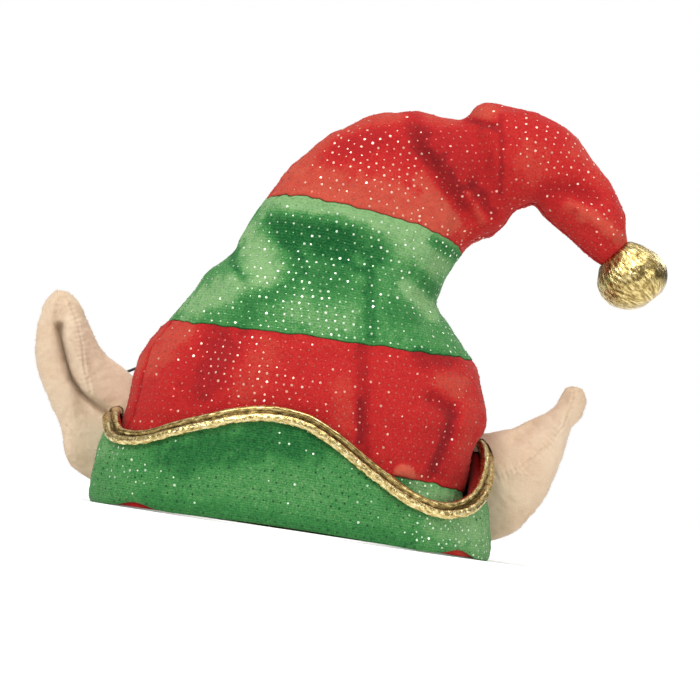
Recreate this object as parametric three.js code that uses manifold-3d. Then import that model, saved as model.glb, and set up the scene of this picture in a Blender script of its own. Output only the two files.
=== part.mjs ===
// Pet elf hat: a striped velour crown with a bent tail and a gilt ball, a scalloped turned-up cuff with
// gilt piping, two plush ears and a thin chin elastic. Millimetres, +Z up, the front faces -Y.
// The origin is the middle of the cuff's lower rim, which stands on the ground.
import * as THREE from "three";
import { mergeVertices } from "three/addons/utils/BufferGeometryUtils.js";
import Module from "manifold-3d";

const wasm = await Module();
wasm.setup();

// Cloth thicknesses, clearances and the shape of a section
const VELOUR = 2;
const FACING = 1.2;
const GAP = 0.3;
const LAYER_GAP = 0.5; // between the cuff and its facing
const SQUARENESS = 0.88; // exponent of a section's curve: 1 is an ellipse, less is boxier
const RIM_INSET = VELOUR + LAYER_GAP + FACING + GAP; // from the cuff's outer face to the turned-out crown
const RIM_LIFT = 0.6; // least height of the crown's lower edge above the ground
const RIM_TILT = 1; // how much higher the crown's lower edge lies at the front than at the sides
const NEIGHBOUR = 0.01; // step to the neighbouring points that give a direction on a surface

// Facets round and along the pieces
const AROUND_CUFF = 56;
const AROUND_CROWN = 40;
const STEPS = { base: 2, lower: 6, middle: 7, tail: 18, cuff: 3, facing: 2, ear: 13 };
const AROUND_EAR = 20;
const AROUND_BALL = 20;

// Cuff sections by height: left and right outline (x) and half the size front to back
const CUFF = [
  { z: 0, left: -85.6, right: 85.4, depth: 54 },
  { z: 13, left: -85.3, right: 83.2, depth: 53.6 },
  { z: 26, left: -84.2, right: 80.6, depth: 53 },
  { z: 37, left: -80.8, right: 78.6, depth: 52 },
  { z: 50, left: -78.6, right: 77, depth: 51 },
];

// Scalloped top edge of the cuff: height by angle, from the back (90) over the left (180),
// the front (270) and the right (360) to the back again
const SCALLOP = [
  { angle: 90, height: 38 },
  { angle: 130, height: 37 },
  { angle: 165, height: 37 },
  { angle: 182, height: 36.5 },
  { angle: 193, height: 33.5 },
  { angle: 203, height: 29.2 },
  { angle: 212, height: 28 },
  { angle: 223, height: 29.5 },
  { angle: 234, height: 34.8 },
  { angle: 244, height: 39.6 },
  { angle: 254, height: 44.2 },
  { angle: 264, height: 46.5 },
  { angle: 270, height: 45.6 },
  { angle: 276, height: 41.5 },
  { angle: 290, height: 29.8 },
  { angle: 305, height: 19.9 },
  { angle: 313, height: 17.8 },
  { angle: 323, height: 18.6 },
  { angle: 334, height: 22.7 },
  { angle: 343, height: 27.8 },
  { angle: 353, height: 35 },
  { angle: 364, height: 42.5 },
  { angle: 374, height: 46.5 },
  { angle: 392, height: 45 },
  { angle: 420, height: 40 },
  { angle: 450, height: 38 },
];

// Places where the cuff's lower edge is raised and the facing peeps out: middle, half width and rise
const RIM_RAISED = [
  { angle: 222, half: 8, rise: 2.4 },
  { angle: 327, half: 8.5, rise: 3 },
];
const FRONT_ARCH = { angle: 270, half: 32, rise: 1.8 }; // low arch of the lower edge at the front

// Crown sections from the lower rim to the end of the tail. left and right are the outline's points
// (x, z) seen from the front, depth is half the size front to back, back is the section's shift
// towards +Y, and lift is how much higher its front lies than its sides.
const CROWN = [
  {
    left: [CUFF[0].left + RIM_INSET, RIM_LIFT + RIM_TILT],
    right: [CUFF[0].right - RIM_INSET, RIM_LIFT + RIM_TILT],
    depth: CUFF[0].depth - RIM_INSET,
    back: 0,
    lift: RIM_TILT,
  },
  { left: [-79.2, 8], right: [76, 8], depth: 48, back: 0, lift: 1.2 },
  { left: [-78.2, 17], right: [71.5, 17], depth: 47, back: 0, lift: 2.6 },
  { left: [-77.4, 26], right: [70, 26], depth: 46.4, back: 0, lift: 4.4, seam: "base" },
  { left: [-75.6, 37], right: [71.2, 37], depth: 46, back: 0, lift: 3.4 },
  { left: [-74.4, 47], right: [72.6, 47], depth: 45.4, back: 0, lift: 2.2 },
  { left: [-73.7, 55.5], right: [75.4, 55], depth: 45, back: 0, lift: 1.2 },
  { left: [-70.6, 69], right: [71.4, 69.6], depth: 43, back: 0, lift: 0.6 },
  { left: [-63.4, 79.6], right: [65.8, 82], depth: 40.2, back: 0, lift: 0.4, seam: "lower" },
  { left: [-55.4, 92], right: [56, 92.4], depth: 37, back: 0, lift: 1 },
  { left: [-50.2, 102.4], right: [47.2, 102], depth: 34, back: 0, lift: 2 },
  { left: [-40.4, 112], right: [48, 110.6], depth: 32, back: 1, lift: 3 },
  { left: [-37.2, 122.4], right: [50.4, 118.6], depth: 31, back: 1, lift: 5 },
  { left: [-31, 134.8], right: [53.4, 124.4], depth: 29.4, back: 2, lift: 7, seam: "upper" },
  { left: [-19, 155], right: [58, 131], depth: 27, back: 2, lift: 6 },
  { left: [-4.5, 169.4], right: [62.4, 133.8], depth: 26, back: 2, lift: 5 },
  { left: [23, 181.4], right: [66.6, 135.6], depth: 24, back: 2, lift: 3 },
  { left: [46.4, 182.2], right: [70.2, 140], depth: 20, back: 1, lift: 1 },
  { left: [54, 189.4], right: [73, 146.6], depth: 20, back: 1, lift: 0 },
  { left: [68, 190], right: [77.6, 149.8], depth: 19, back: 0, lift: 0 },
  { left: [86.6, 186.2], right: [81.4, 150.4], depth: 17, back: -1, lift: 0 },
  { left: [101.8, 173.8], right: [87.2, 145.8], depth: 14.5, back: -2, lift: 0 },
  { left: [114.8, 160.4], right: [97.8, 139.2], depth: 12, back: -4, lift: 0 },
  { left: [120, 151.2], right: [105.8, 134], depth: 10, back: -5, lift: 0 },
  { left: [122.1, 140.6], right: [112.9, 129.7], depth: 7, back: -6, lift: 0 },
];

// Folds and dents of the crown, as lines seen from the front: width is the distance at which the
// fold fades, depth is how far the cloth sinks in (a ridge is negative), side is -1 front, 1 back
const FOLDS = [
  { from: [-42, 73], to: [-54, 36], width: 11, depth: 2.6, side: -1 },
  { from: [18, 99], to: [24, 42], width: 7, depth: 1.6, side: -1 },
  { from: [51, 64], to: [61, 61], width: 6, depth: 1.8, side: -1 },
  { from: [58, 60], to: [54, 32], width: 7, depth: 2.2, side: -1 },
  { from: [-24, 122], to: [18, 119], width: 11, depth: 3.6, side: -1 },
  { from: [2, 116], to: [4, 103], width: 12, depth: 2, side: -1 },
  { from: [32, 109], to: [45, 99], width: 5, depth: 1.6, side: -1 },
  { from: [-34, 96], to: [-41, 112], width: 7, depth: -1.6, side: -1 },
  { from: [26, 162], to: [53, 142], width: 8, depth: 3.8, side: -1 },
  { from: [5, 150], to: [30, 146], width: 9, depth: -1.5, side: -1 },
  { from: [48, 181], to: [58, 160], width: 6, depth: 3, side: -1 },
  { from: [57, 154], to: [62, 147], width: 5, depth: 2, side: -1 },
  { from: [88, 158], to: [108, 158], width: 5, depth: 1.8, side: -1 },
  { from: [97, 152], to: [115, 142], width: 4, depth: -1.2, side: -1 },
  { from: [-38, 104], to: [30, 112], width: 12, depth: 3, side: 1 },
  { from: [-25, 60], to: [-40, 30], width: 12, depth: 2, side: 1 },
  { from: [38, 62], to: [46, 34], width: 11, depth: 2, side: 1 },
  { from: [20, 168], to: [56, 146], width: 9, depth: 3, side: 1 },
  { from: [50, 182], to: [70, 160], width: 6, depth: 2.2, side: 1 },
];

// Section of the piping: out is measured from the cuff's outer face, up from the cuff's top edge.
// The upper points are a round cord, the lower ones the flange that covers the edge.
const PIPING = [
  { out: -1.4, up: 0.6 },
  { out: -3, up: 1.9 },
  { out: -2.2, up: 3.8 },
  { out: -0.6, up: 4.2 },
  { out: 0.9, up: 3 },
  { out: 0.8, up: 1.3 },
  { out: 2.5, up: 0.4 },
  { out: 3, up: -1.3 },
  { out: 1.9, up: -2.9 },
  { out: 0.7, up: -2.4 },
  { out: 0.7, up: 0.6 },
];

// Round channel that an ear leaves free for the piping, in the same measures
const PIPING_ROOM = { out: 0, up: 0.7, radius: 4.7, sides: 12 };

// Ear sections from the root to the tip. lower and upper are the outline's points (x, z) seen from the
// front, depth is half the thickness, back is the shift towards +Y, and crease is the share of the
// front's thickness that the lengthwise fold takes away (a raised seam is negative).
const LEFT_EAR = [
  { lower: [-72, 8], upper: [-66, 50], depth: 8, back: 16, crease: 0.2 },
  { lower: [-87.6, 9.6], upper: [-76.7, 55.9], depth: 8.5, back: 16, crease: 0.35 },
  { lower: [-97, 15.8], upper: [-85.6, 60.7], depth: 9, back: 15, crease: 0.7 },
  { lower: [-101.8, 28.6], upper: [-91.7, 65.9], depth: 9, back: 14, crease: 0.9 },
  { lower: [-108.2, 39.4], upper: [-95.3, 71.4], depth: 8.5, back: 13, crease: 1 },
  { lower: [-115, 51], upper: [-97.6, 75.6], depth: 8, back: 12, crease: 0.9 },
  { lower: [-117.4, 63], upper: [-100.4, 80], depth: 7, back: 11, crease: 0.7 },
  { lower: [-117.6, 74], upper: [-103, 82.8], depth: 5.6, back: 10, crease: 0.4 },
  { lower: [-115.4, 81.4], upper: [-105.4, 84.7], depth: 4.2, back: 9.5, crease: 0.1 },
  { lower: [-112, 85.4], upper: [-107.6, 85.6], depth: 2.4, back: 9, crease: 0 },
];
const RIGHT_EAR = [
  { lower: [72, 6], upper: [66, 46], depth: 8, back: 16, crease: 0 },
  { lower: [85.2, 8.9], upper: [76.6, 51.2], depth: 9, back: 16, crease: -0.05 },
  { lower: [92, 12.2], upper: [83.4, 54.8], depth: 9.5, back: 15, crease: -0.1 },
  { lower: [96.6, 17.2], upper: [89.7, 58.6], depth: 9.5, back: 14, crease: -0.12 },
  { lower: [101.8, 24.3], upper: [95.9, 63], depth: 9, back: 13, crease: -0.12 },
  { lower: [105.6, 33], upper: [99.6, 65.4], depth: 8.5, back: 12, crease: -0.12 },
  { lower: [108.2, 43], upper: [101.8, 67.2], depth: 7.5, back: 11, crease: -0.1 },
  { lower: [109.8, 52.4], upper: [103.2, 69], depth: 6.5, back: 10, crease: -0.1 },
  { lower: [111, 60.4], upper: [104, 72], depth: 5.6, back: 9.5, crease: -0.05 },
  { lower: [115.2, 67], upper: [105.4, 75], depth: 5, back: 9, crease: 0 },
  { lower: [115.4, 73.4], upper: [107, 77.2], depth: 3.8, back: 8.5, crease: 0 },
  { lower: [113.2, 77.2], upper: [109.4, 77.9], depth: 2, back: 8, crease: 0 },
];
const CREASE_WIDTH = 0.13; // share of the ear's width at which the lengthwise fold fades
const EAR_BACK_SHARE = 0.8; // thickness of an ear's back half against its front half

// Gilt ball: profile along its axis, from the flat neck under the tail to the far end
const BALL = [
  { along: -11.3, radius: 7.2 },
  { along: -11, radius: 8.8 },
  { along: -8.6, radius: 11.6 },
  { along: -5, radius: 14 },
  { along: -0.8, radius: 15 },
  { along: 3.6, radius: 14.6 },
  { along: 7.6, radius: 12.5 },
  { along: 10.8, radius: 9 },
  { along: 12.6, radius: 5 },
];
const BALL_PLEAT = 0.3; // depth of the gathers at the neck
const BALL_SAG = 0.8; // how far the ball sags below the tail's axis

// Chin elastic: sewn to the back of each ear and drawn round the back of the crown.
// The route round the crown is by angle (0 right, 90 back) and distance up the crown from its rim.
const ELASTIC_DIAMETER = 1.2;
const ELASTIC_CLEAR = 0.7; // from the crown's face to the elastic's middle line, less its radius
const ELASTIC_STEPS = 48;
const ELASTIC_SIDES = 8;
const ELASTIC_RIGHT = new THREE.Vector3(83, 21.8, 46.5);
const ELASTIC_LEFT = new THREE.Vector3(-83, 21, 53.4);
const ELASTIC_ROUTE = [
  { angle: 40, up: 56.5 },
  { angle: 50, up: 59 },
  { angle: 60, up: 61 },
  { angle: 70, up: 62.5 },
  { angle: 80, up: 63.5 },
  { angle: 90, up: 64 },
  { angle: 100, up: 64.2 },
  { angle: 110, up: 64.1 },
  { angle: 120, up: 64 },
  { angle: 130, up: 63.8 },
  { angle: 140, up: 63.2 },
  { angle: 152, up: 61.6 },
];

const MATERIALS = {
  red: new THREE.MeshStandardMaterial({ color: 0xc82828, roughness: 0.85, metalness: 0 }),
  green: new THREE.MeshStandardMaterial({ color: 0x1f8a3c, roughness: 0.85, metalness: 0 }),
  gilt: new THREE.MeshStandardMaterial({ color: 0xb8922e, roughness: 0.35, metalness: 1 }),
  plush: new THREE.MeshStandardMaterial({ color: 0xe3c4a6, roughness: 0.95, metalness: 0 }),
  black: new THREE.MeshStandardMaterial({ color: 0x161616, roughness: 0.7, metalness: 0 }),
};

// A function of place that passes smoothly through rows of numbers set at rising knots
function smooth(knots, rows) {
  const last = rows.length - 1;
  const secant = (i, c) => (rows[i + 1][c] - rows[i][c]) / (knots[i + 1] - knots[i]);
  const slope = (i, c) => {
    if (i === 0) return secant(0, c);
    if (i === last) return secant(last - 1, c);
    const before = knots[i] - knots[i - 1];
    const after = knots[i + 1] - knots[i];
    return (after * secant(i - 1, c) + before * secant(i, c)) / (before + after);
  };
  return (place) => {
    let i = 0;
    while (i < last - 1 && place > knots[i + 1]) i += 1;
    const span = knots[i + 1] - knots[i];
    const t = (place - knots[i]) / span;
    const rest = 1 - t;
    return rows[i].map(
      (value, c) =>
        (1 + 2 * t) * rest * rest * value +
        t * t * (3 - 2 * t) * rows[i + 1][c] +
        span * t * rest * (rest * slope(i, c) - t * slope(i + 1, c)),
    );
  };
}

// The distance of each section's middle from the first one, along the line of middles
function distances(rows, ends) {
  const middles = rows.map(ends).map(([a, b]) => [(a[0] + b[0]) / 2, (a[1] + b[1]) / 2]);
  const places = [0];
  for (let i = 1; i < middles.length; i += 1) {
    const step = Math.hypot(middles[i][0] - middles[i - 1][0], middles[i][1] - middles[i - 1][1]);
    places.push(places[i - 1] + step);
  }
  return places;
}

const boxy = (v) => Math.sign(v) * Math.abs(v) ** SQUARENESS;
const radians = THREE.MathUtils.degToRad;
const spread = (from, to, steps) =>
  Array.from({ length: steps + 1 }, (_, i) => from + ((to - from) * i) / steps);
const turns = (count) => Array.from({ length: count }, (_, k) => (2 * Math.PI * k) / count);

// A closed skin over a row of rings of equal length: a loop of rings joins end to start, and
// otherwise both end rings are closed with fans. The faces are turned outwards.
function skin(rings, loop) {
  const count = rings[0].length;
  const points = rings.flat();
  const faces = [];
  const joins = loop ? rings.length : rings.length - 1;
  for (let r = 0; r < joins; r += 1) {
    const here = r * count;
    const next = ((r + 1) % rings.length) * count;
    for (let k = 0; k < count; k += 1) {
      const after = (k + 1) % count;
      faces.push([here + k, here + after, next + after], [here + k, next + after, next + k]);
    }
  }
  if (!loop) {
    const start = 0;
    const end = (rings.length - 1) * count;
    const firstHub = points.push(middleOf(rings[0])) - 1;
    const lastHub = points.push(middleOf(rings.at(-1))) - 1;
    for (let k = 0; k < count; k += 1) {
      const after = (k + 1) % count;
      faces.push([firstHub, start + after, start + k], [lastHub, end + k, end + after]);
    }
  }
  const volume = faces.reduce(
    (sum, [a, b, c]) => sum + points[a].dot(new THREE.Vector3().crossVectors(points[b], points[c])),
    0,
  );
  const turned = volume < 0 ? faces.map(([a, b, c]) => [a, c, b]) : faces;
  const geometry = new THREE.BufferGeometry().setFromPoints(points);
  geometry.setIndex(turned.flat());
  geometry.computeVertexNormals();
  return geometry;
}

function middleOf(ring) {
  const sum = ring.reduce((total, p) => total.add(p), new THREE.Vector3());
  return sum.divideScalar(ring.length);
}

// Cuff surface: the point at an angle and a height, inset from the outer face
const cuffAt = smooth(
  CUFF.map((row) => row.z),
  CUFF.map((row) => [row.left, row.right, row.depth]),
);
const scallopAt = smooth(
  SCALLOP.map((row) => row.angle),
  SCALLOP.map((row) => [row.height]),
);
const FIRST_ANGLE = SCALLOP[0].angle;

function scallopHeight(angle) {
  const degrees = THREE.MathUtils.euclideanModulo(THREE.MathUtils.radToDeg(angle) - FIRST_ANGLE, 360);
  return scallopAt(FIRST_ANGLE + degrees)[0];
}

// How far a raised place of the lower edge lifts it at an angle
function raisedBy({ angle: middle, half, rise }, angle) {
  const away = THREE.MathUtils.radToDeg(angle) - middle;
  return rise * Math.exp(-((away / half) ** 2));
}

const archHeight = (angle) => raisedBy(FRONT_ARCH, angle);
const rimHeight = (angle) =>
  RIM_RAISED.reduce((height, place) => height + raisedBy(place, angle), archHeight(angle));

function cuffPoint(angle, height, inset) {
  const [left, right, depth] = cuffAt(height);
  const x = (left + right) / 2 + ((right - left) / 2 - inset) * boxy(Math.cos(angle));
  return new THREE.Vector3(x, (depth - inset) * boxy(Math.sin(angle)), height);
}

function cuffRing(share, inset, bottom, top) {
  return turns(AROUND_CUFF).map((angle) => {
    const low = bottom(angle);
    return cuffPoint(angle, low + share * (top(angle) - low), inset);
  });
}

// A band that stands round the cuff's line, between two insets
function cuffBand(outer, inner, steps, bottom, top) {
  const shares = spread(0, 1, steps);
  const outside = shares.map((share) => cuffRing(share, outer, bottom, top));
  const inside = shares.map((share) => cuffRing(share, inner, bottom, top)).reverse();
  return skin([...outside, ...inside], true);
}

// Rim lifts under FLAT are set to the ground, so that the rim rests on one flat face
const FLAT = 0.05;
const cuffBottom = (angle) => (rimHeight(angle) < FLAT ? 0 : rimHeight(angle));
const facingBottom = (angle) => RIM_LIFT + archHeight(angle);
const facingTop = (angle) => scallopHeight(angle) - FACING;

const cuffGeometry = cuffBand(0, VELOUR, STEPS.cuff, cuffBottom, scallopHeight);
const facingOuter = VELOUR + LAYER_GAP;
const facingGeometry = cuffBand(facingOuter, facingOuter + FACING, STEPS.facing, facingBottom, facingTop);

// Piping: a section is carried along the cuff's top edge, square to the edge and to the cuff's face
function edgeRings(section) {
  const near = NEIGHBOUR;
  const edge = (angle) => cuffPoint(angle, scallopHeight(angle), 0);
  return turns(AROUND_CUFF).map((angle) => {
    const along = edge(angle + near).sub(edge(angle - near)).normalize();
    const height = scallopHeight(angle);
    const level = cuffPoint(angle + near, height, 0).sub(cuffPoint(angle - near, height, 0));
    const rise = cuffPoint(angle, height + near, 0).sub(cuffPoint(angle, height - near, 0));
    const out = new THREE.Vector3().crossVectors(level, rise).normalize();
    const up = new THREE.Vector3().crossVectors(out, along).normalize();
    return section.map((p) => edge(angle).addScaledVector(out, p.out).addScaledVector(up, p.up));
  });
}
const pipingGeometry = skin(edgeRings(PIPING), true);

// Crown surface: the point at a distance along the crown and an angle, inset from the outer face,
// with the folds or without
const crownPlaces = distances(CROWN, (row) => [row.left, row.right]);
const crownAt = smooth(
  crownPlaces,
  CROWN.map((row) => [...row.left, ...row.right, row.depth, row.back, row.lift]),
);
const seamPlace = (name) => crownPlaces[CROWN.findIndex((row) => row.seam === name)];
const CROWN_END = crownPlaces.at(-1);

function foldDepth(x, z, side) {
  return FOLDS.filter((fold) => fold.side === side).reduce((sum, { from, to, width, depth }) => {
    const line = [to[0] - from[0], to[1] - from[1]];
    const along = ((x - from[0]) * line[0] + (z - from[1]) * line[1]) / (line[0] ** 2 + line[1] ** 2);
    const nearest = THREE.MathUtils.clamp(along, 0, 1);
    const away = Math.hypot(x - from[0] - nearest * line[0], z - from[1] - nearest * line[1]);
    return sum + depth * Math.exp(-((away / width) ** 2));
  }, 0);
}

function crownPoint(place, angle, inset, folded = true) {
  const [leftX, leftZ, rightX, rightZ, depth, back, lift] = crownAt(place);
  const acrossX = (rightX - leftX) / 2;
  const acrossZ = (rightZ - leftZ) / 2;
  const c = boxy(Math.cos(angle));
  const s = boxy(Math.sin(angle));
  const middleX = (leftX + rightX) / 2;
  const middleZ = (leftZ + rightZ) / 2;
  const dent = foldDepth(middleX + acrossX * c, middleZ + acrossZ * c - lift * s, Math.sign(s));
  const sunk = folded ? dent : 0;
  const wide = 1 - inset / Math.hypot(acrossX, acrossZ);
  const deep = 1 - inset / depth;
  return new THREE.Vector3(
    middleX + acrossX * wide * c,
    back + (depth * deep - sunk) * s,
    middleZ + acrossZ * wide * c - lift * deep * s,
  );
}

const crownRing = (place, around, inset) => turns(around).map((angle) => crownPoint(place, angle, inset));

function crownBand(from, to, steps, around) {
  const places = spread(from + GAP / 2, to - GAP / 2, steps);
  const outside = places.map((place) => crownRing(place, around, 0));
  const inside = places.map((place) => crownRing(place, around, VELOUR)).reverse();
  return skin([...outside, ...inside], true);
}

// The tail is open below and closed at its end: the skin runs from the end of the hollow down the
// inside, round the seam edge and up the outside
function tailShell() {
  const start = seamPlace("upper") + GAP / 2;
  const rings = (end, inset) =>
    spread(start, end, STEPS.tail).map((place) => crownRing(place, AROUND_CROWN, inset));
  const inside = rings(CROWN_END - VELOUR, VELOUR);
  const outside = rings(CROWN_END, 0);
  return skin([...inside.reverse(), ...outside], false);
}

const baseGeometry = crownBand(0, seamPlace("base"), STEPS.base, AROUND_CUFF);
const lowerGeometry = crownBand(seamPlace("base"), seamPlace("lower"), STEPS.lower, AROUND_CUFF);
const middleGeometry = crownBand(seamPlace("lower"), seamPlace("upper"), STEPS.middle, AROUND_CROWN);

// Ears: closed padded forms whose roots are cut to the crown, the cuff and the piping
function earForm(rows) {
  const places = distances(rows, (row) => [row.lower, row.upper]);
  const at = smooth(
    places,
    rows.map((row) => [...row.lower, ...row.upper, row.depth, row.back, row.crease]),
  );
  const rings = spread(0, places.at(-1), STEPS.ear).map((place) => {
    const [lowerX, lowerZ, upperX, upperZ, depth, back, crease] = at(place);
    return turns(AROUND_EAR).map((angle) => {
      const share = (1 - Math.cos(angle)) / 2;
      const front = Math.sin(angle) > 0;
      const dip = crease * Math.exp(-(((share - 0.5) / CREASE_WIDTH) ** 2));
      const thick = front ? depth * (1 - dip) : depth * EAR_BACK_SHARE;
      const x = lowerX + share * (upperX - lowerX);
      const z = lowerZ + share * (upperZ - lowerZ);
      return new THREE.Vector3(x, back - thick * Math.sin(angle), z);
    });
  });
  return skin(rings, false);
}

function solidOf(geometry) {
  const bare = geometry.clone();
  bare.deleteAttribute("normal");
  const merged = mergeVertices(bare);
  const vertProperties = merged.getAttribute("position").array;
  const triVerts = new Uint32Array(merged.index.array);
  return new wasm.Manifold(new wasm.Mesh({ numProp: 3, vertProperties, triVerts }));
}

function geometryOf(solid) {
  const mesh = solid.getMesh();
  const geometry = new THREE.BufferGeometry();
  geometry.setAttribute("position", new THREE.BufferAttribute(new Float32Array(mesh.vertProperties), 3));
  geometry.setIndex(new THREE.BufferAttribute(mesh.triVerts, 1));
  geometry.computeVertexNormals();
  return geometry;
}

// What an ear's root has to clear: the filled cuff and crown, grown by the gap, and the piping's channel
function earRoom() {
  const below = () => -GAP;
  const over = (angle) => scallopHeight(angle) + GAP;
  const cuff = skin(
    spread(0, 1, STEPS.cuff).map((share) => cuffRing(share, -GAP, below, over)),
    false,
  );
  const places = spread(0, seamPlace("lower"), STEPS.base + STEPS.lower);
  const crown = skin(
    places.map((place) => crownRing(place, AROUND_CUFF, -GAP)),
    false,
  );
  const channel = turns(PIPING_ROOM.sides).map((angle) => ({
    out: PIPING_ROOM.out + PIPING_ROOM.radius * Math.cos(angle),
    up: PIPING_ROOM.up + PIPING_ROOM.radius * Math.sin(angle),
  }));
  const piping = skin(edgeRings(channel), true);
  return [cuff, crown, piping].map(solidOf);
}

function cutEar(rows) {
  const whole = earRoom().reduce((ear, room) => ear.subtract(room), solidOf(earForm(rows)));
  const pieces = whole.decompose().sort((a, b) => b.volume() - a.volume());
  return geometryOf(pieces[0]);
}

// Gilt ball, made along +Z from its neck and then turned to hang from the tail
function ballForm() {
  const neck = BALL[0].along;
  const far = BALL.at(-1).along;
  const rings = BALL.map(({ along, radius }) => {
    const gather = BALL_PLEAT * ((far - along) / (far - neck)) ** 2;
    return turns(AROUND_BALL).map((angle, k) => {
      const pleated = radius + (k % 2 === 0 ? gather : -gather);
      return new THREE.Vector3(pleated * Math.cos(angle), pleated * Math.sin(angle), along);
    });
  });
  return skin(rings, false);
}

// Chin elastic: a thin round cord from the right ear round the back of the crown to the left ear
function elasticForm() {
  const clear = ELASTIC_CLEAR + ELASTIC_DIAMETER / 2;
  const round = ELASTIC_ROUTE.map(({ angle, up }) => crownPoint(up, radians(angle), -clear, false));
  const path = new THREE.CatmullRomCurve3([ELASTIC_RIGHT, ...round, ELASTIC_LEFT]);
  const section = new THREE.Shape(
    turns(ELASTIC_SIDES).map((angle) =>
      new THREE.Vector2(Math.cos(angle), Math.sin(angle)).multiplyScalar(ELASTIC_DIAMETER / 2),
    ),
  );
  return new THREE.ExtrudeGeometry(section, { extrudePath: path, steps: ELASTIC_STEPS, bevelEnabled: false });
}

function part(name, geometry, material) {
  const mesh = new THREE.Mesh(geometry, material);
  mesh.name = name;
  return mesh;
}

const hat = new THREE.Group();
hat.add(part("crown_base_band", baseGeometry, MATERIALS.green));
hat.add(part("crown_lower_band", lowerGeometry, MATERIALS.red));
hat.add(part("crown_middle_band", middleGeometry, MATERIALS.green));
hat.add(part("crown_tail", tailShell(), MATERIALS.red));
hat.add(part("cuff", cuffGeometry, MATERIALS.green));
hat.add(part("cuff_facing", facingGeometry, MATERIALS.red));
hat.add(part("cuff_piping", pipingGeometry, MATERIALS.gilt));
hat.add(part("ear_left", cutEar(LEFT_EAR), MATERIALS.plush));
hat.add(part("ear_right", cutEar(RIGHT_EAR), MATERIALS.plush));

const ball = part("tip_ball", ballForm(), MATERIALS.gilt);
const tailEnd = middleOf(crownRing(CROWN_END, AROUND_CROWN, 0));
const { left: endLeft, right: endRight } = CROWN.at(-1);
const hang = new THREE.Vector3(endLeft[1] - endRight[1], 0, endRight[0] - endLeft[0]).normalize();
ball.quaternion.setFromUnitVectors(new THREE.Vector3(0, 0, 1), hang);
const sag = new THREE.Vector3(hang.z, 0, -hang.x);
ball.position.copy(tailEnd).addScaledVector(hang, GAP - BALL[0].along).addScaledVector(sag, BALL_SAG);
hat.add(ball);

hat.add(part("chin_elastic", elasticForm(), MATERIALS.black));

export default hat;
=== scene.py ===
"""Looks of a pet elf hat: velour crown and cuff with foil dots, gilt piping and ball, plush ears, elastic."""
import math

import bmesh
import bpy
import numpy as np
from mathutils import Matrix, Vector


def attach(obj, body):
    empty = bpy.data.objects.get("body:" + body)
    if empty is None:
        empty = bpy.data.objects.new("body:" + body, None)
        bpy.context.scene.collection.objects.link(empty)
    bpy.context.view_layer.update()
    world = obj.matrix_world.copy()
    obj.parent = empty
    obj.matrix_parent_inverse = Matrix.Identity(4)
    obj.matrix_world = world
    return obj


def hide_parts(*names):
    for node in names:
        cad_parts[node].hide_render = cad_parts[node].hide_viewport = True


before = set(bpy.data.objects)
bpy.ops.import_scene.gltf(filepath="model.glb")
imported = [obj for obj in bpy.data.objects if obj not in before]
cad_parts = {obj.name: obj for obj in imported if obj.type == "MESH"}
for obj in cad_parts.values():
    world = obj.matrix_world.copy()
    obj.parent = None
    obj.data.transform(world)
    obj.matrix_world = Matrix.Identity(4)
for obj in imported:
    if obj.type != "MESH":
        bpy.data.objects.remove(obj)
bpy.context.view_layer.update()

# Sizes are in millimetres in the frame of the solids; meshes are made in metres
MM = 0.001

# View of the photograph: its width at the hat, the hat's roll in it, its middle, and the eye's place
VIEW_WIDTH = 294
VIEW_ROLL = math.radians(8.6)
VIEW_MIDDLE = Vector((14, 0, 79))
EYE = Vector((14, -2500, 27))
SENSOR_WIDTH = 36

# Cloth thicknesses, clearances and the shape of a section
VELOUR = 2
FACING = 1.2
GAP = 0.3
LAYER_GAP = 0.5
SEAM_GAP = 0.2
SQUARENESS = 0.88
RIM_INSET = VELOUR + LAYER_GAP + FACING + GAP
RIM_LIFT = 0.6
RIM_TILT = 1
EDGE = 0.7  # radius of the rounded edge of a cloth piece at a seam
TURN = 2 * math.pi

# Cuff sections: height, left and right outline, half the size front to back
CUFF = [
    (0, -85.6, 85.4, 54),
    (13, -85.3, 83.2, 53.6),
    (26, -84.2, 80.6, 53),
    (37, -80.8, 78.6, 52),
    (50, -78.6, 77, 51),
]

# Scalloped top edge of the cuff: angle in degrees from the right over the back, height
SCALLOP = [
    (90, 38), (130, 37), (165, 37), (182, 36.5), (193, 33.5), (203, 29.2), (212, 28), (223, 29.5),
    (234, 34.8), (244, 39.6), (254, 44.2), (264, 46.5), (270, 45.6), (276, 41.5), (290, 29.8),
    (305, 19.9), (313, 17.8), (323, 18.6), (334, 22.7), (343, 27.8), (353, 35), (364, 42.5),
    (374, 46.5), (392, 45), (420, 40), (450, 38),
]

# Places where the cuff's lower edge is raised, and its low arch at the front: angle, half width, rise
RIM_RAISED = [(222, 8, 2.4), (327, 8.5, 3)]
FRONT_ARCH = (270, 32, 1.8)
FACING_SLACK = (355, 28, 5)  # where the facing bulges in: angle, half width, depth
NO_SLACK = (0, 1, 0)

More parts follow.
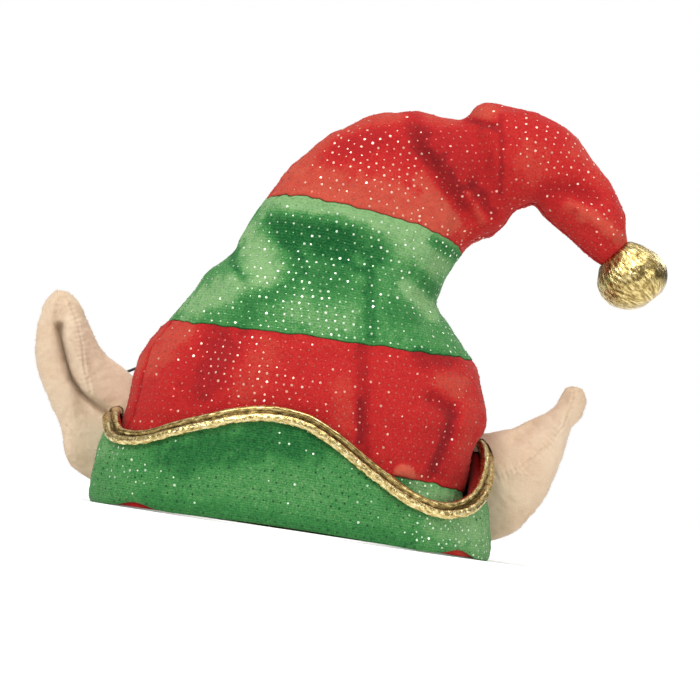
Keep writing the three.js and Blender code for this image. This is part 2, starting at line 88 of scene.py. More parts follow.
# Crown sections from the rim to the tail's end: left x and z, right x and z, half depth, back, lift
CROWN = [
    (
        CUFF[0][1] + RIM_INSET, RIM_LIFT + RIM_TILT, CUFF[0][2] - RIM_INSET, RIM_LIFT + RIM_TILT,
        CUFF[0][3] - RIM_INSET, 0, RIM_TILT,
    ),
    (-79.2, 8, 76, 8, 48, 0, 1.2),
    (-78.2, 17, 71.5, 17, 47, 0, 2.6),
    (-77.4, 26, 70, 26, 46.4, 0, 4.4),
    (-75.6, 37, 71.2, 37, 46, 0, 3.4),
    (-74.4, 47, 72.6, 47, 45.4, 0, 2.2),
    (-73.7, 55.5, 75.4, 55, 45, 0, 1.2),
    (-70.6, 69, 71.4, 69.6, 43, 0, 0.6),
    (-63.4, 79.6, 65.8, 82, 40.2, 0, 0.4),
    (-55.4, 92, 56, 92.4, 37, 0, 1),
    (-50.2, 102.4, 47.2, 102, 34, 0, 2),
    (-40.4, 112, 48, 110.6, 32, 1, 3),
    (-37.2, 122.4, 50.4, 118.6, 31, 1, 5),
    (-31, 134.8, 54.4, 125.9, 29.4, 2, 7),
    (-19, 155, 58, 131, 27, 2, 6),
    (-4.5, 169.4, 62.4, 133.8, 26, 2, 5),
    (23, 181.4, 66.6, 135.6, 24, 2, 3),
    (46.4, 182.2, 70.2, 140, 20, 1, 1),
    (54, 189.4, 73, 146.6, 20, 1, 0),
    (68, 190, 77.6, 149.8, 19, 0, 0),
    (86.6, 186.2, 81.4, 150.4, 17, -1, 0),
    (101.8, 173.8, 87.2, 145.8, 14.5, -2, 0),
    (114.8, 160.4, 97.8, 139.2, 12, -4, 0),
    (120, 151.2, 105.8, 134, 10, -5, 0),
    (122.1, 140.6, 112.9, 129.7, 7, -6, 0),
]
SEAM_ROWS = {"rim": 0, "base": 3, "lower": 8, "upper": 13, "end": -1}

# Folds of the crown's front and of its back, as lines seen from the front: line, width, depth
FRONT_FOLDS = [
    (((-42, 73), (-54, 36)), 11, 2.6),
    (((18, 99), (24, 42)), 7, 1.6),
    (((51, 64), (61, 61)), 6, 1.8),
    (((58, 60), (54, 32)), 7, 2.2),
    (((-24, 122), (18, 119)), 11, 3.6),
    (((2, 116), (4, 103)), 12, 2),
    (((32, 109), (45, 99)), 5, 1.6),
    (((-34, 96), (-41, 112)), 7, -1.6),
    (((26, 162), (53, 142)), 8, 3.8),
    (((5, 150), (30, 146)), 9, -1.5),
    (((48, 181), (58, 160)), 6, 3),
    (((57, 154), (62, 147)), 5, 2),
    (((88, 158), (108, 158)), 5, 1.8),
    (((97, 152), (115, 142)), 4, -1.2),
]
BACK_FOLDS = [
    (((-38, 104), (30, 112)), 12, 3),
    (((-25, 60), (-40, 30)), 12, 2),
    (((38, 62), (46, 34)), 11, 2),
    (((20, 168), (56, 146)), 9, 3),
    (((50, 182), (70, 160)), 6, 2.2),
]

# Sharper creases on those folds, seen from the front: line, width, depth (a bump is negative)
CREASES = [
    (((18.5, 80), (22, 62), (24, 46), (27, 34)), 1.8, 1.6),
    (((19, 104), (18.5, 84)), 2.2, 0.6),
    (((50.3, 63.3), (60, 60), (60.9, 55.5), (58.3, 45.4), (54.8, 31)), 2.3, 2.6),
    (((-41, 75), (-47, 58)), 5, 0.8),
    (((24, 178), (30.5, 165.5), (36, 160.8), (45, 150), (50.5, 144.3), (56.6, 139.5)), 2.6, 2),
    (((54.8, 153.4), (64.7, 143.4)), 2.2, 1.6),
    (((48.5, 182), (54, 180.8), (60, 180)), 1.7, 2),
    (((61.7, 184.9), (64.4, 168), (66.5, 152.9)), 0.9, 0.9),
    (((60, 178), (63.4, 158)), 2.4, -0.8),
    (((84.7, 156.4), (102, 159)), 3.2, 0.9),
    (((95.8, 153.4), (118.7, 142)), 2.6, -0.9),
    (((-27.3, 127.1), (-10, 125)), 3.2, 1.0),
    (((-38.7, 115.6), (-40, 107.4), (-34, 100.3), (-33.5, 92)), 1.7, 1.5),
    (((33, 108), (45.6, 100)), 2.4, -0.8),
    (((28, 112), (41, 104.5)), 2, 0.7),
]

# Tone of the pile, lighter (positive) or darker, partly the nap's own brushed patches and partly painted
# shade in folds and under the piping and painted highlights on lit slopes: line seen from the front, width,
# tone
NAP_AND_PAINTED_LIGHT = [
    # upper red band and tail
    (((-20, 143), (17, 145), (43, 138)), 8, 0.75),
    (((-18, 153), (-4, 171), (20, 180), (41, 181)), 4, 0.6),
    (((-2, 162), (12, 168)), 6, -0.35),
    (((25, 179), (31.6, 166.7), (37.5, 162), (46.2, 151.5), (51.5, 146)), 4.2, -0.75),
    (((33, 154), (40, 146), (47, 138.5)), 3.6, 0.5),
    (((53.5, 150), (60.5, 141)), 2, 0.5),
    (((51, 185.5), (57, 186)), 3.6, 0.7),
    (((49, 181.6), (60, 179.6)), 1.5, -0.8),
    (((61.7, 184.9), (64.4, 168), (66.5, 152.9)), 1, -0.5),
    (((76, 169), (79, 163)), 6, 0.35),
    (((96, 178), (108, 166)), 5, 0.3),
    (((95.8, 153.4), (118.7, 142)), 3, 0.7),
    (((84.7, 156.4), (104, 157)), 4, -0.45),
    (((54.8, 153.4), (64.7, 143.4)), 2.4, -0.6),
    (((38, 172), (60, 156)), 9, -0.3),
    # middle green band
    (((-29, 133.5), (-4, 138), (27, 134.5), (36, 131)), 4.6, 0.95),
    (((-33, 121), (-26, 105)), 7.4, 1.0),
    (((-54, 88), (-37, 98)), 5, 0.85),
    (((20, 130), (33, 125), (46, 121)), 7.5, 0.75),
    (((33, 108), (46, 99.5)), 3.6, 0.85),
    (((-8, 92), (8, 91)), 8, 0.45),
    (((-26, 126.5), (-4, 123), (18, 122)), 7, -0.9),
    (((0, 117), (2, 104)), 9, -0.55),
    (((-23, 124), (-16.8, 117.6), (-12.4, 108.4), (-14.7, 100.2), (-23, 95.3)), 3.6, -0.6),
    (((-39.5, 114), (-40, 107.4), (-34.5, 101)), 1.5, -0.9),
    (((40, 129), (51, 124.5)), 2.4, -1.1),
    (((36, 114.5), (45, 108.5)), 3.2, -0.55),
    (((17, 112), (22, 84)), 2.6, -0.7),
    (((30, 97), (36, 96)), 5, -0.45),
    (((-31, 94), (-30, 86)), 4, -0.5),
    # lower red band
    (((-69, 60), (-56, 77)), 5, 0.6),
    (((-38, 73), (-42, 56)), 8, -0.6),
    (((-21, 72), (-29, 56)), 7, 0.35),
    (((18.5, 80), (22, 62), (24, 46), (27, 34)), 2.4, -0.45),
    (((13, 62), (16, 48)), 4.5, 0.3),
    (((55, 73), (60, 70)), 4.6, 0.6),
    (((44, 80), (54, 79)), 4, -0.7),
    (((21.4, 57), (22.7, 50), (23.6, 42)), 1.4, -0.8),
    (((51, 63.5), (57, 60.5)), 3.2, -0.45),
    (((60, 58), (58.5, 46), (55, 32)), 4.4, -0.4),
    (((60.6, 57.5), (58.8, 47), (56, 35)), 1.9, -0.85),
    (((50, 27.5), (66, 22)), 4, 0.8),
    (((67, 62), (65, 44)), 4, 0.25),
    # cuff
    (((-52, 23), (-34, 30), (-14, 36), (6, 38)), 7, -0.8),
    (((-28, 17), (8, 18)), 6, 0.1),
    (((79, 20), (79, 4)), 8, 0.45),
    (((62, 12), (74, 12)), 6, 0.5),
    (((-60, 4), (0, 4), (50, 4)), 3.5, -0.4),
    (((-80, 22), (-80, 34)), 4, 0.35),
]
NAP_BACK_SIZE = 26  # distance between the brushed patches of the pile on the back
NAP_BACK_TONE = 0.3
NAP_STRAY = [(7, 0.2), (2.4, 0.07)]  # straying of a patch's edge: size, share of the patch's width
NAP_EDGE = 5  # sharpness of a patch's edge
NAP_TURN = 12  # depth over which the front's chart gives way to the back

# Seams down the sides: place along the crown, angle of the left and of the right seam
SIDE_SEAMS = [(0, 198, 8), (60, 199, 7), (100, 193, 4), (140, 188, -2), (190, 180, -10), (330, 176, -10)]
SIDE_SEAM_WIDTH = 1
SIDE_SEAM_DEPTH = 1.1
# Painted shade along the side seams, as strong as the seam is near
SIDE_SEAM_PAINTED_SHADE = 0.7

# Section of the piping: out from the cuff's face, up from its top edge
PIPING = [
    (-1.4, 0.6), (-3, 1.9), (-2.2, 3.8), (-0.6, 4.2), (0.9, 3), (0.35, 1.4), (2.4, 0.5), (3, -1.3),
    (1.9, -2.9), (0.7, -2.4), (0.7, 0.6),
]
PIPING_PAINTED_SHADE = [((0.35, 1.4), 0.9, 1), ((0.8, 2.8), 0.7, 0.3)]  # places of the section with painted shade in the groove and a painted dark reflection on the cord's face, width, share
PIPING_WRINKLES = [(4, 0.06)]  # size, height
PIPING_CRINKLE = 0.1  # strength of the crinkles, and their number along the piping against across it
PIPING_STRETCH = 0.35
FLANGE_TOP = 1  # height in the section where the flange starts, and over which its grain sets in
FLANGE_FADE = 0.8
FLANGE_GRAIN = [(2, 0.1), (1, 0.05)]  # size, height
FLANGE_CRINKLE = 0.6

# Section of the channel that an ear leaves free for the piping: out and up, as for the piping
PIPING_ROOM = [
    (-3.4, 1.6), (-3.2, 3.2), (-2.3, 4.3), (-0.6, 4.6), (1.2, 3.4), (2.7, 1.1), (3.4, -1.3),
    (2.7, -2.9), (1.7, -3.3), (0, -2.8), (-1.8, -0.2),
]

# Ear sections from the root to the tip: lower x and z, upper x and z, half depth, back, crease
LEFT_EAR = [
    (-72, 8, -66, 50, 8, 16, 0.2),
    (-87.6, 9.6, -76.7, 55.9, 8.5, 16, 0.35),
    (-97, 15.8, -85.6, 60.7, 9, 15, 0.7),
    (-101.8, 28.6, -91.7, 65.9, 9, 14, 0.9),
    (-108.2, 39.4, -95.3, 71.4, 8.5, 13, 1),
    (-115, 51, -97.6, 75.6, 8, 12, 0.9),
    (-117.4, 63, -100.4, 80, 7, 11, 0.7),
    (-117.6, 74, -103, 82.8, 5.6, 10, 0.4),
    (-115.4, 81.4, -105.4, 84.7, 4.2, 9.5, 0.1),
    (-112, 85.4, -107.6, 85.6, 2.4, 9, 0),
]
RIGHT_EAR = [
    (72, 6, 66, 51, 8, 16, 0),
    (85.2, 8.9, 76.6, 53.4, 9, 16, -0.05),
    (92, 12.2, 83.4, 55.6, 9.5, 15, -0.1),
    (96.6, 17.2, 89.7, 58.6, 9.5, 14, -0.12),
    (101.8, 24.3, 95.9, 63, 9, 13, -0.12),
    (105.6, 33, 99.6, 65.4, 8.5, 12, -0.12),
    (108.2, 43, 101.8, 67.2, 7.5, 11, -0.1),
    (109.8, 52.4, 103.2, 69, 6.5, 10, -0.1),
    (111, 60.4, 104, 72, 5.6, 9.5, -0.05),
    (115.2, 67, 105.4, 75, 5, 9, 0),
    (115.4, 73.4, 107, 77.2, 3.8, 8.5, 0),
    (113.2, 77.2, 109.4, 77.9, 2, 8, 0),
]
CREASE_MIDDLE = 0.5
CREASE_WIDTH = 0.13
EAR_BACK_SHARE = 0.8
EAR_RELIEF = [(11, 0.14), (3, 0.05)]  # size, height

# Lines on the ears' fronts: line seen from the front, width, depth
LEFT_EAR_LINES = [
    (((-108.3, 70.5), (-106, 64), (-103.3, 57), (-99.8, 49.6), (-95.4, 44.6), (-83.5, 38)), 1.5, 5),
    (((-104, 71), (-99.8, 58.5), (-94.5, 49.5), (-86, 43)), 4, -2),
]
LEFT_EAR_SEAM = ((-105.6, 80.8), (-101.2, 73.8), (-97.7, 64.5), (-94.3, 53), (-89.6, 44))
EAR_CREASE_SHARE = 0.5  # the slit takes the rest of the crease's depth
SLIT_LIP = 1.5  # distance of the slit's right lip from its bottom, and how far the lip leans over it
SLIT_LEAN = 1.7
SLIT_EASE = 5  # length over which the lean grows from the slit's ends
RIGHT_EAR_LINES = [
    (((88.5, 52.5), (94.8, 59.9)), 2.8, 2.4),
    (((103, 68.5), (106, 72)), 1.6, 1.2),
]
RIGHT_EAR_SEAM = (
    (82.2, 35.1), (91.2, 40.1), (98.3, 47.3), (103.7, 54.7), (107.7, 60.9), (109.5, 70.3), (109.9, 76),
)

# Sewn seams of the ears: width and height of the ridge, width and depth of its line, stitches' pitch, height
SEAM_RIDGE = (2, 0.9)
SEAM_LINE = (0.55, 0.75)
SEAM_STITCH = (2, 0.15)

# Pile that stands free: fibres in a square millimetre and their length, half width, splay, start on an ear
EAR_PILE = (1.8, 0.75)
VELOUR_PILE = (0.36, 0.5)
PILE_WIDTH = 0.045
PILE_SPLAY = 0.35
PILE_FROM = 88
PILE_LENGTHS = (0.5, 1.3)  # least and greatest share of the length

# Gilt ball: distance along its axis from the middle, radius
BALL = [
    (-11.3, 7.2), (-11, 8.8), (-8.6, 11.6), (-5, 14), (-0.8, 15), (3.6, 14.6), (7.6, 12.5),
    (10.8, 9), (12.6, 5),
]
BALL_FALL = 1.3  # how far the ball's free part sinks, and the share by which it spreads along x, y and z
BALL_SPREAD = np.array([0.027, 0, -0.066])
BALL_PLEATS = [(5, 0.2), (2.4, 0.2), (1.3, 0.12)]  # size, depth
PLEATS_FROM = (-12, 4, 0.3)  # place on the axis, length over which the pleats deepen, least share
PLEATS_TO = (7, 10, 0.12)  # the same where they fade
PLEAT_CRINKLE = 0.7  # strength of the crinkles on the pleats, added to that on the whole ball
BALL_CRINKLE = 0.3
BALL_DARKENING = 0.25
BALL_WEAVE = 12  # radius of the crinkles' way round the ball, and their number along against across
BALL_STRETCH = 0.4
BALL_SWELL = 0.2
BALL_FREE_REACH = 6  # length over which the ball comes free of its lip

# Gathered lip of the ball's cover round the tail's end, which takes the place of the neck's first two rows
BALL_LIP = [(-11.2, 6.2), (-11.3, 7.4), (-11.7, 7.6), (-11.4, 8.3), (-9.8, 10.3)]

# Chin elastic: its ends at the ears, and its way round the crown by angle and distance up the crown
ELASTIC_DIAMETER = 1.2
ELASTIC_CLEAR = 0.7
ELASTIC_STRANDS = 7
ELASTIC_TWIST = 2.4  # radians in a millimetre
ELASTIC_BRAID = 0.05  # rise and fall of the strands, and how far they are sunk
ELASTIC_SUNK = 0.03
ELASTIC_RIGHT = (83, 21.8, 46.5)
ELASTIC_LEFT = (-83, 21, 53.4)
ELASTIC_ROUTE = [
    (40, 56.5), (50, 59), (60, 61), (70, 62.5), (80, 63.5), (90, 64), (100, 64.2), (110, 64.1),
    (120, 64), (130, 63.8), (140, 63.2), (152, 61.6),
]

# Foil dots: spacing in a row and of rows, radii and their spread, facets, tilt, height, rise of middles
DOT_PITCH = 3.7
DOT_ROW_PITCH = DOT_PITCH * 0.87
DOT_DULL = 0.23
DOT_BRIGHT = 0.32
DOT_SPREAD = 0.28
DOT_SIDES = 7
DOT_TILT = 0.12
DOT_LIFT = 0.1
DOT_DOME = 0.05
DOT_STRAY = (0.08, 0.3)  # in pitches along a row, in rows of the mesh across it
DOT_MARGINS = (2.2, 1.6)  # at the lower and the upper edge of a cloth
GLINT_FADE_BRIGHT = (0, 0.5)  # least and greatest fade of bright dots and of dull ones: 0 paints a glint, 1 paints a dark reflection
GLINT_FADE_DULL = (0.7, 1)

# Places where the foil catches the light: line seen from the front, width, share of bright dots
GLINTS = [
    (((-1, 162), (23, 158)), 13, 1),
    (((-16, 148), (20, 146), (42, 139)), 8, 0.35),
    (((73.5, 177.2), (97.9, 170.3)), 10, 1),
    (((104.2, 156.4), (112.6, 142.8)), 6, 0.6),
    (((-30.4, 125.4), (-29.9, 102.1)), 7, 0.8),
    (((-9.9, 96.6), (6.2, 88.4)), 11, 1),
    (((12.7, 129.8), (44.7, 128.3)), 10, 0.8),
    (((-34.9, 65.2), (-10.5, 58.3)), 10, 1),
    (((50, 27.5), (66, 22)), 4.5, 1),
    (((58.4, 10.1), (84.3, 6.8)), 9, 1),
    (((-80, 22), (-64, 14)), 9, 0.45),
    (((-66, 18), (-34, 10)), 11, 0.2),
]
GLINT_EDGE = 4  # sharpness of such a place's edge
GLINT_SEED = 5  # of such places on the back

# Tuck of cloth caught in the base seam: place seen from the front, radius, height, reach of its edge, tone
TUCK = (43.6, 30.4)
TUCK_RADIUS = 4.7
TUCK_HEIGHT = 1.5
TUCK_REACH = 0.6
TUCK_TONE = 1.4

# Slack of the cloth: spacing of its rows, unevenness (size, height), reach over which an edge frees it
CLOTH_STEP = 0.85
CLOTH_RELIEF = [(20, 0.28), (7, 0.12), (2, 0.05)]
RELIEF_REACH = 3
CUFF_RELIEF_REACH = 5
CUFF_CROWDING = 1.3  # how the cuff's rows crowd at its lower edge, and how tall that rounded edge is
CUFF_TOE = 5

# Seams between bands: straying in waves round the crown and its reach, painted shade along them and its
# reach; gathers, and their bends
SEAM_WAVES = (5, 11, 17, 26, 41)
SEAM_STRAY = 0.16
SEAM_REACH = 8
SEAM_PAINTED_SHADE = 0.15
SEAM_PAINTED_SHADE_REACH = 1.6
PUCKER_SIZE = 7.5
PUCKER_DEPTH = 0.22
PUCKER_REACH = 6
PUCKER_BEND = 2
PUCKER_BEND_SIZE = 15

# Studio: what the lights are aimed at in metres, light on cloth, greys of the room from floor to ceiling
HAT = (0, 0, 0.09)
EVEN_LIGHT = (0.62, 0.62, 0.63, 1)
ROOM_GREYS = [(0, 0.17), (0.3, 0.25), (0.6, 0.6), (1, 1)]


# Numbers and curves

def smooth(knots, rows):
    """A function that passes smoothly through rows of numbers set at rising knots."""
    knots = np.array(knots, float)
    rows = np.array(rows, float)
    spans = np.diff(knots)[:, None]
    secants = np.diff(rows, axis=0) / spans
    inner = (spans[1:] * secants[:-1] + spans[:-1] * secants[1:]) / (spans[1:] + spans[:-1])
    slopes = np.vstack([secants[:1], inner, secants[-1:]])

    def at(place):
        place = np.asarray(place, float)
        i = np.clip(np.searchsorted(knots, place) - 1, 0, len(knots) - 2)
        span = (knots[i + 1] - knots[i])[..., None]
        t = (place - knots[i])[..., None] / span
        rest = 1 - t
        ends = (1 + 2 * t) * rest**2 * rows[i] + t**2 * (3 - 2 * t) * rows[i + 1]
        return ends + span * t * rest * (rest * slopes[i] - t * slopes[i + 1])

    return at


def smooth_table(table):
    """The same for a table whose first column holds the knots."""
    return smooth([row[0] for row in table], [row[1:] for row in table])


def drawn(rows, knots, count):
    """Rows at even places on the smooth line through rows set at knots, and those places."""
    places = np.linspace(0, knots[-1], count)
    return smooth(knots, rows)(places), places


def lengths_along(points):
    """How far along their line points are."""
    steps = np.linalg.norm(np.diff(points, axis=0), axis=1)
    return np.concatenate([[0], np.cumsum(steps)])


def distances(sections):
    """How far along the line of their middles sections are."""
    ends = np.array([row[:4] for row in sections], float)
    return lengths_along((ends[:, :2] + ends[:, 2:]) / 2)


def unit(vectors):
    return vectors / np.maximum(np.linalg.norm(vectors, axis=-1, keepdims=True), 1e-9)


def boxy(v):
    return np.sign(v) * np.abs(v) ** SQUARENESS


def turns(count):
    return np.arange(count) * TURN / count


def bell(away, width):
    """1 at no distance, falling to 0 over a few widths."""
    return np.exp(-((away / width) ** 2))


def eased(away, reach):
    """0 at no distance, rising to 1 at a reach."""
    return np.clip(away / reach, 0, 1)


def ripple(points, size, seed, waves=24):
    """A smooth random field of about unit strength, with bumps about one size apart."""
    dice = np.random.default_rng(seed)
    ways = unit(dice.normal(size=(waves, 3)))
    lengths = size * dice.uniform(0.7, 1.5, (waves, 1))
    starts = dice.uniform(0, TURN, waves)
    return np.cos(points @ (ways * TURN / lengths).T + starts).sum(axis=-1) * math.sqrt(2 / waves)


def layered(points, layers, seed):
    """Ripples of several sizes and heights on each other."""
    return sum(height * ripple(points, size, seed + k) for k, (size, height) in enumerate(layers))


def nearest_on(line, x, z):
    """Distance of points seen from the front from a line, and how far along it they are."""
    nearest = np.full(np.shape(x), np.inf)
    along = np.zeros(np.shape(x))
    passed = 0
    for (from_x, from_z), (to_x, to_z) in zip(line, line[1:]):
        run = to_x - from_x
        rise = to_z - from_z
        length = math.hypot(run, rise)
        share = np.clip(((x - from_x) * run + (z - from_z) * rise) / length**2, 0, 1)
        away = np.hypot(x - from_x - share * run, z - from_z - share * rise)
        along = np.where(away < nearest, passed + share * length, along)
        nearest = np.minimum(nearest, away)
        passed += length
    return nearest, along


def charted(table, x, z, form):
    """Sum of a table's values at points seen from the front; form takes distances in widths."""
    return sum(value * form(nearest_on(line, x, z)[0] / width) for line, width, value in table)


def sunk(lines, x, z):
    """How far lines sink a surface at points seen from the front."""
    return charted(lines, x, z, lambda away: bell(away, 1))


def normals_of(points):
    """Outward normals of a grid of points whose columns run round and close."""
    along = np.gradient(points, axis=0)
    around = np.roll(points, -1, axis=1) - np.roll(points, 1, axis=1)
    return unit(np.cross(around, along))


def rings(middles, radius, around, side, over):
    """Points round middles at some angles, in the planes of two directions."""
    return middles + (radius * np.cos(around))[..., None] * side + (radius * np.sin(around))[..., None] * over


# Surfaces of the cuff and the crown

cuff_at = smooth_table(CUFF)
scallop_at = smooth_table(SCALLOP)
crown_places = distances(CROWN)
crown_at = smooth(crown_places, CROWN)
seam_at = {name: crown_places[row] for name, row in SEAM_ROWS.items()}


def scallop_height(angle):
    first = SCALLOP[0][0]
    return scallop_at(first + (np.degrees(angle) - first) % 360)[..., 0]


def raised_by(place, angle):
    middle, half, rise = place
    away = (np.degrees(angle) - middle + 180) % 360 - 180
    return rise * bell(away, half)


def rim_height(angle):
    return raised_by(FRONT_ARCH, angle) + sum(raised_by(place, angle) for place in RIM_RAISED)


def facing_bottom(angle):
    return RIM_LIFT + raised_by(FRONT_ARCH, angle)


def facing_top(angle):
    return scallop_height(angle) - FACING


def cuff_point(angle, height, inset):
    angle, height, inset = np.broadcast_arrays(angle, height, inset)
    left, right, depth = np.moveaxis(cuff_at(height), -1, 0)
    x = (left + right) / 2 + ((right - left) / 2 - inset) * boxy(np.cos(angle))
    return np.stack([x, (depth - inset) * boxy(np.sin(angle)), height], axis=-1)


def crown_point(place, angle, inset, folded=True):
    place, angle, inset = np.broadcast_arrays(place, angle, inset)
    left_x, left_z, right_x, right_z, depth, back, lift = np.moveaxis(crown_at(place), -1, 0)
    across_x = (right_x - left_x) / 2
    across_z = (right_z - left_z) / 2
    c = boxy(np.cos(angle))
    s = boxy(np.sin(angle))
    x = (left_x + right_x) / 2 + across_x * c
    z = (left_z + right_z) / 2 + across_z * c - lift * s
    dent = np.where(s < 0, sunk(FRONT_FOLDS + CREASES, x, z), sunk(BACK_FOLDS, x, z)) if folded else 0
    wide = inset / np.hypot(across_x, across_z)
    x = x - across_x * c * wide
    z = z - across_z * c * wide + lift * s * inset / depth
    return np.stack([x, back + (depth - inset - dent) * s, z], axis=-1)


def nap_at(points, seed):
    """Tone of the pile, from -1 to 1: charted on the front, where the chart holds nap with painted shade and
    painted highlights; brushed at random on the back.
    """
    x = points[..., 0]
    z = points[..., 2]
    stray = layered(points, NAP_STRAY, seed)
    front = charted(NAP_AND_PAINTED_LIGHT, x, z, lambda away: 1 / (1 + np.maximum(away + stray, 0) ** NAP_EDGE))
    behind = NAP_BACK_TONE * ripple(points, NAP_BACK_SIZE, seed + len(NAP_STRAY))
    facing = np.clip(0.5 - points[..., 1] / NAP_TURN, 0, 1)
    return np.clip(facing * front + (1 - facing) * behind, -1, 1)


# Meshes

def surface(name, points, loop, material, slot, **attributes):
    """A piece over a grid of points whose columns close: the rows close too, or are capped."""
    rows, count = points.shape[:2]
    index = np.arange(rows * count).reshape(rows, count)
    below = index if loop else index[:-1]
    above = np.roll(index, -1, axis=0) if loop else index[1:]
    corners = [below, np.roll(below, -1, axis=1), np.roll(above, -1, axis=1), above]
    faces = np.stack(corners, axis=-1).reshape(-1, 4).tolist()
    vertices = points.reshape(-1, 3)
    if not loop:
        hub = len(vertices)
        vertices = np.vstack([vertices, points[0].mean(axis=0), points[-1].mean(axis=0)])
        for k in range(count):
            after = (k + 1) % count
            faces.append([hub, index[0, after], index[0, k]])
            faces.append([hub + 1, index[-1, k], index[-1, after]])
    piece = piece_from(name, vertices, faces, material)
    for held, values in attributes.items():
        kind = np.shape(values)[2:]
        whole = np.zeros((len(vertices), *kind))
        whole[: rows * count] = np.broadcast_to(values, (rows, count, *kind)).reshape(-1, *kind)
        hold(piece, held, whole)
    return piece


def piece_from(name, vertices, faces, material, shade_smooth=True):
    mesh = bpy.data.meshes.new(name)
    mesh.from_pydata((vertices * MM).tolist(), [], faces)
    mesh.polygons.foreach_set("use_smooth", [shade_smooth] * len(faces))
    mesh.materials.append(material)
    mesh.update()
    piece = bpy.data.objects.new(name, mesh)
    bpy.context.scene.collection.objects.link(piece)
    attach(piece, "root")
    return piece


def copies(faces, number, size):
    """The faces of a number of like parts, each of a size in vertices."""
    return (size * np.arange(number)[:, None, None] + np.array(faces)).reshape(-1, 3).tolist()


def hold(piece, name, values):
    """Keeps a number or a vector for each vertex of a piece, which its material reads."""
    vector = values.ndim == 2
    held = piece.data.attributes.new(name, "FLOAT_VECTOR" if vector else "FLOAT", "POINT")
    held.data.foreach_set("vector" if vector else "value", values.ravel().astype(np.float32))


def vertex_values(mesh, name):
    """A vector of each vertex of a mesh, such as its place or its normal."""
    values = np.empty(3 * len(mesh.vertices))
    mesh.vertices.foreach_get(name, values)
    return values.reshape(-1, 3)


# Materials

def new_material(name, **sockets):
    material = bpy.data.materials.new(name)
    material.use_nodes = True
    shader = material.node_tree.nodes["Principled BSDF"]
    for socket, value in sockets.items():
        shader.inputs[socket.replace("_", " ")].default_value = value
    return material, material.node_tree, shader


def wire(tree, shader, **sockets):
    for socket, value in sockets.items():
        tree.links.new(value, shader.inputs[socket.replace("_", " ")])


def node(tree, kind, inputs, **settings):
    made = tree.nodes.new("ShaderNode" + kind)
    for name, value in settings.items():
        setattr(made, name, value)
    for socket, value in inputs.items():
        if isinstance(value, bpy.types.NodeSocket):
            tree.links.new(value, made.inputs[socket])
        else:
            made.inputs[socket].default_value = value
    return made


def noise(tree, size_mm, detail=2.0, roughness=0.5, place_mm=None):
    """Noise with grains about one size across, over the object or over a place in millimetres."""
    place = place_mm or node(tree, "TexCoord", {}).outputs["Object"]
    size = size_mm if place_mm else size_mm * MM
    inputs = {"Vector": place, "Scale": 1 / size, "Detail": detail, "Roughness": roughness}
    return node(tree, "TexNoise", inputs).outputs["Fac"]


def weighted(tree, base, parts):
    """base plus each part's value times its weight."""
    total = base
    for value, weight in parts:
        total = node(tree, "Math", {0: value, 1: weight, 2: total}, operation="MULTIPLY_ADD").outputs[0]
    return total


def ramp(tree, factor, *stops):
    made = node(tree, "ValToRGB", {"Fac": factor})
    elements = made.color_ramp.elements
    while len(elements) < len(stops):
        elements.new(0.5)
    for element, (position, color) in zip(elements, stops):
        element.position = position
        element.color = (*color, 1)
    return made.outputs["Color"]


def bump(tree, height, strength, depth_mm):
    inputs = {"Height": height, "Strength": strength, "Distance": depth_mm * MM}
    return node(tree, "Bump", inputs).outputs["Normal"]


def attribute(tree, name, output="Fac"):
    return node(tree, "Attribute", {}, attribute_name=name).outputs[output]


def velour(name, dark, middle, light, sheen, mottled, grained, ribbed):
    """Short pile: brushed patches with painted shade and painted highlights, mottling, faint ribs of the
    ground cloth, grain.
    """
    material, tree, shader = new_material(
        name, Roughness=0.9, Specular_IOR_Level=0.12, Sheen_Weight=0.14, Sheen_Roughness=0.4,
        Sheen_Tint=(*sheen, 1),
    )
    stray = weighted(tree, 0.0, [(attribute(tree, "rib"), TURN), (noise(tree, 6), 5)])
    rib = node(tree, "Math", {0: stray}, operation="SINE").outputs[0]
    mottle = noise(tree, 3.2, 4, 0.65)
    pile = noise(tree, 0.8, 3, 0.7)
    tone = weighted(
        tree, 0.5 - (mottled + grained) / 2,
        [(attribute(tree, "nap"), 0.42), (mottle, mottled), (pile, grained), (rib, ribbed)],
    )
    color = ramp(tree, tone, (0.0, dark), (0.5, middle), (1.0, light))
    height = weighted(tree, 0.0, [(pile, 0.7), (noise(tree, 0.28, 1), 0.5), (rib, 0.06)])
    wire(tree, shader, Base_Color=color, Normal=bump(tree, height, 0.6, 0.45))
    return material


def gilt(name, fine, coarse):
    """Metallic cloth whose colour and polish vary with its crinkles, as deep as its grain says; its colour is
    darkened by painted shade on the piping and by an even darker tone on the ball.
    """
    material, tree, shader = new_material(name, Metallic=1.0)
    weave = attribute(tree, "weave", "Vector")
    crinkle = noise(tree, coarse, 3, 0.6, weave)
    thread = noise(tree, fine, 2, 0.6, weave)
    # Darker with painted shade on the piping and an even darker tone all over the ball
    tone = weighted(tree, crinkle, [(attribute(tree, "tarnish"), -0.32)])
    color = ramp(
        tree, tone, (0.1, (0.06, 0.038, 0.013)), (0.35, (0.28, 0.195, 0.065)), (0.5, (0.6, 0.47, 0.19)),
        (0.7, (0.9, 0.8, 0.5)),
    )
    polish = weighted(tree, 0.1, [(thread, 0.3)])
    rough = weighted(tree, 0.0, [(thread, 0.5), (crinkle, 0.8)])
    height = weighted(tree, 0.0, [(rough, attribute(tree, "grain"))])
    wire(tree, shader, Base_Color=color, Roughness=polish, Normal=bump(tree, height, 0.9, 0.4))
    return material


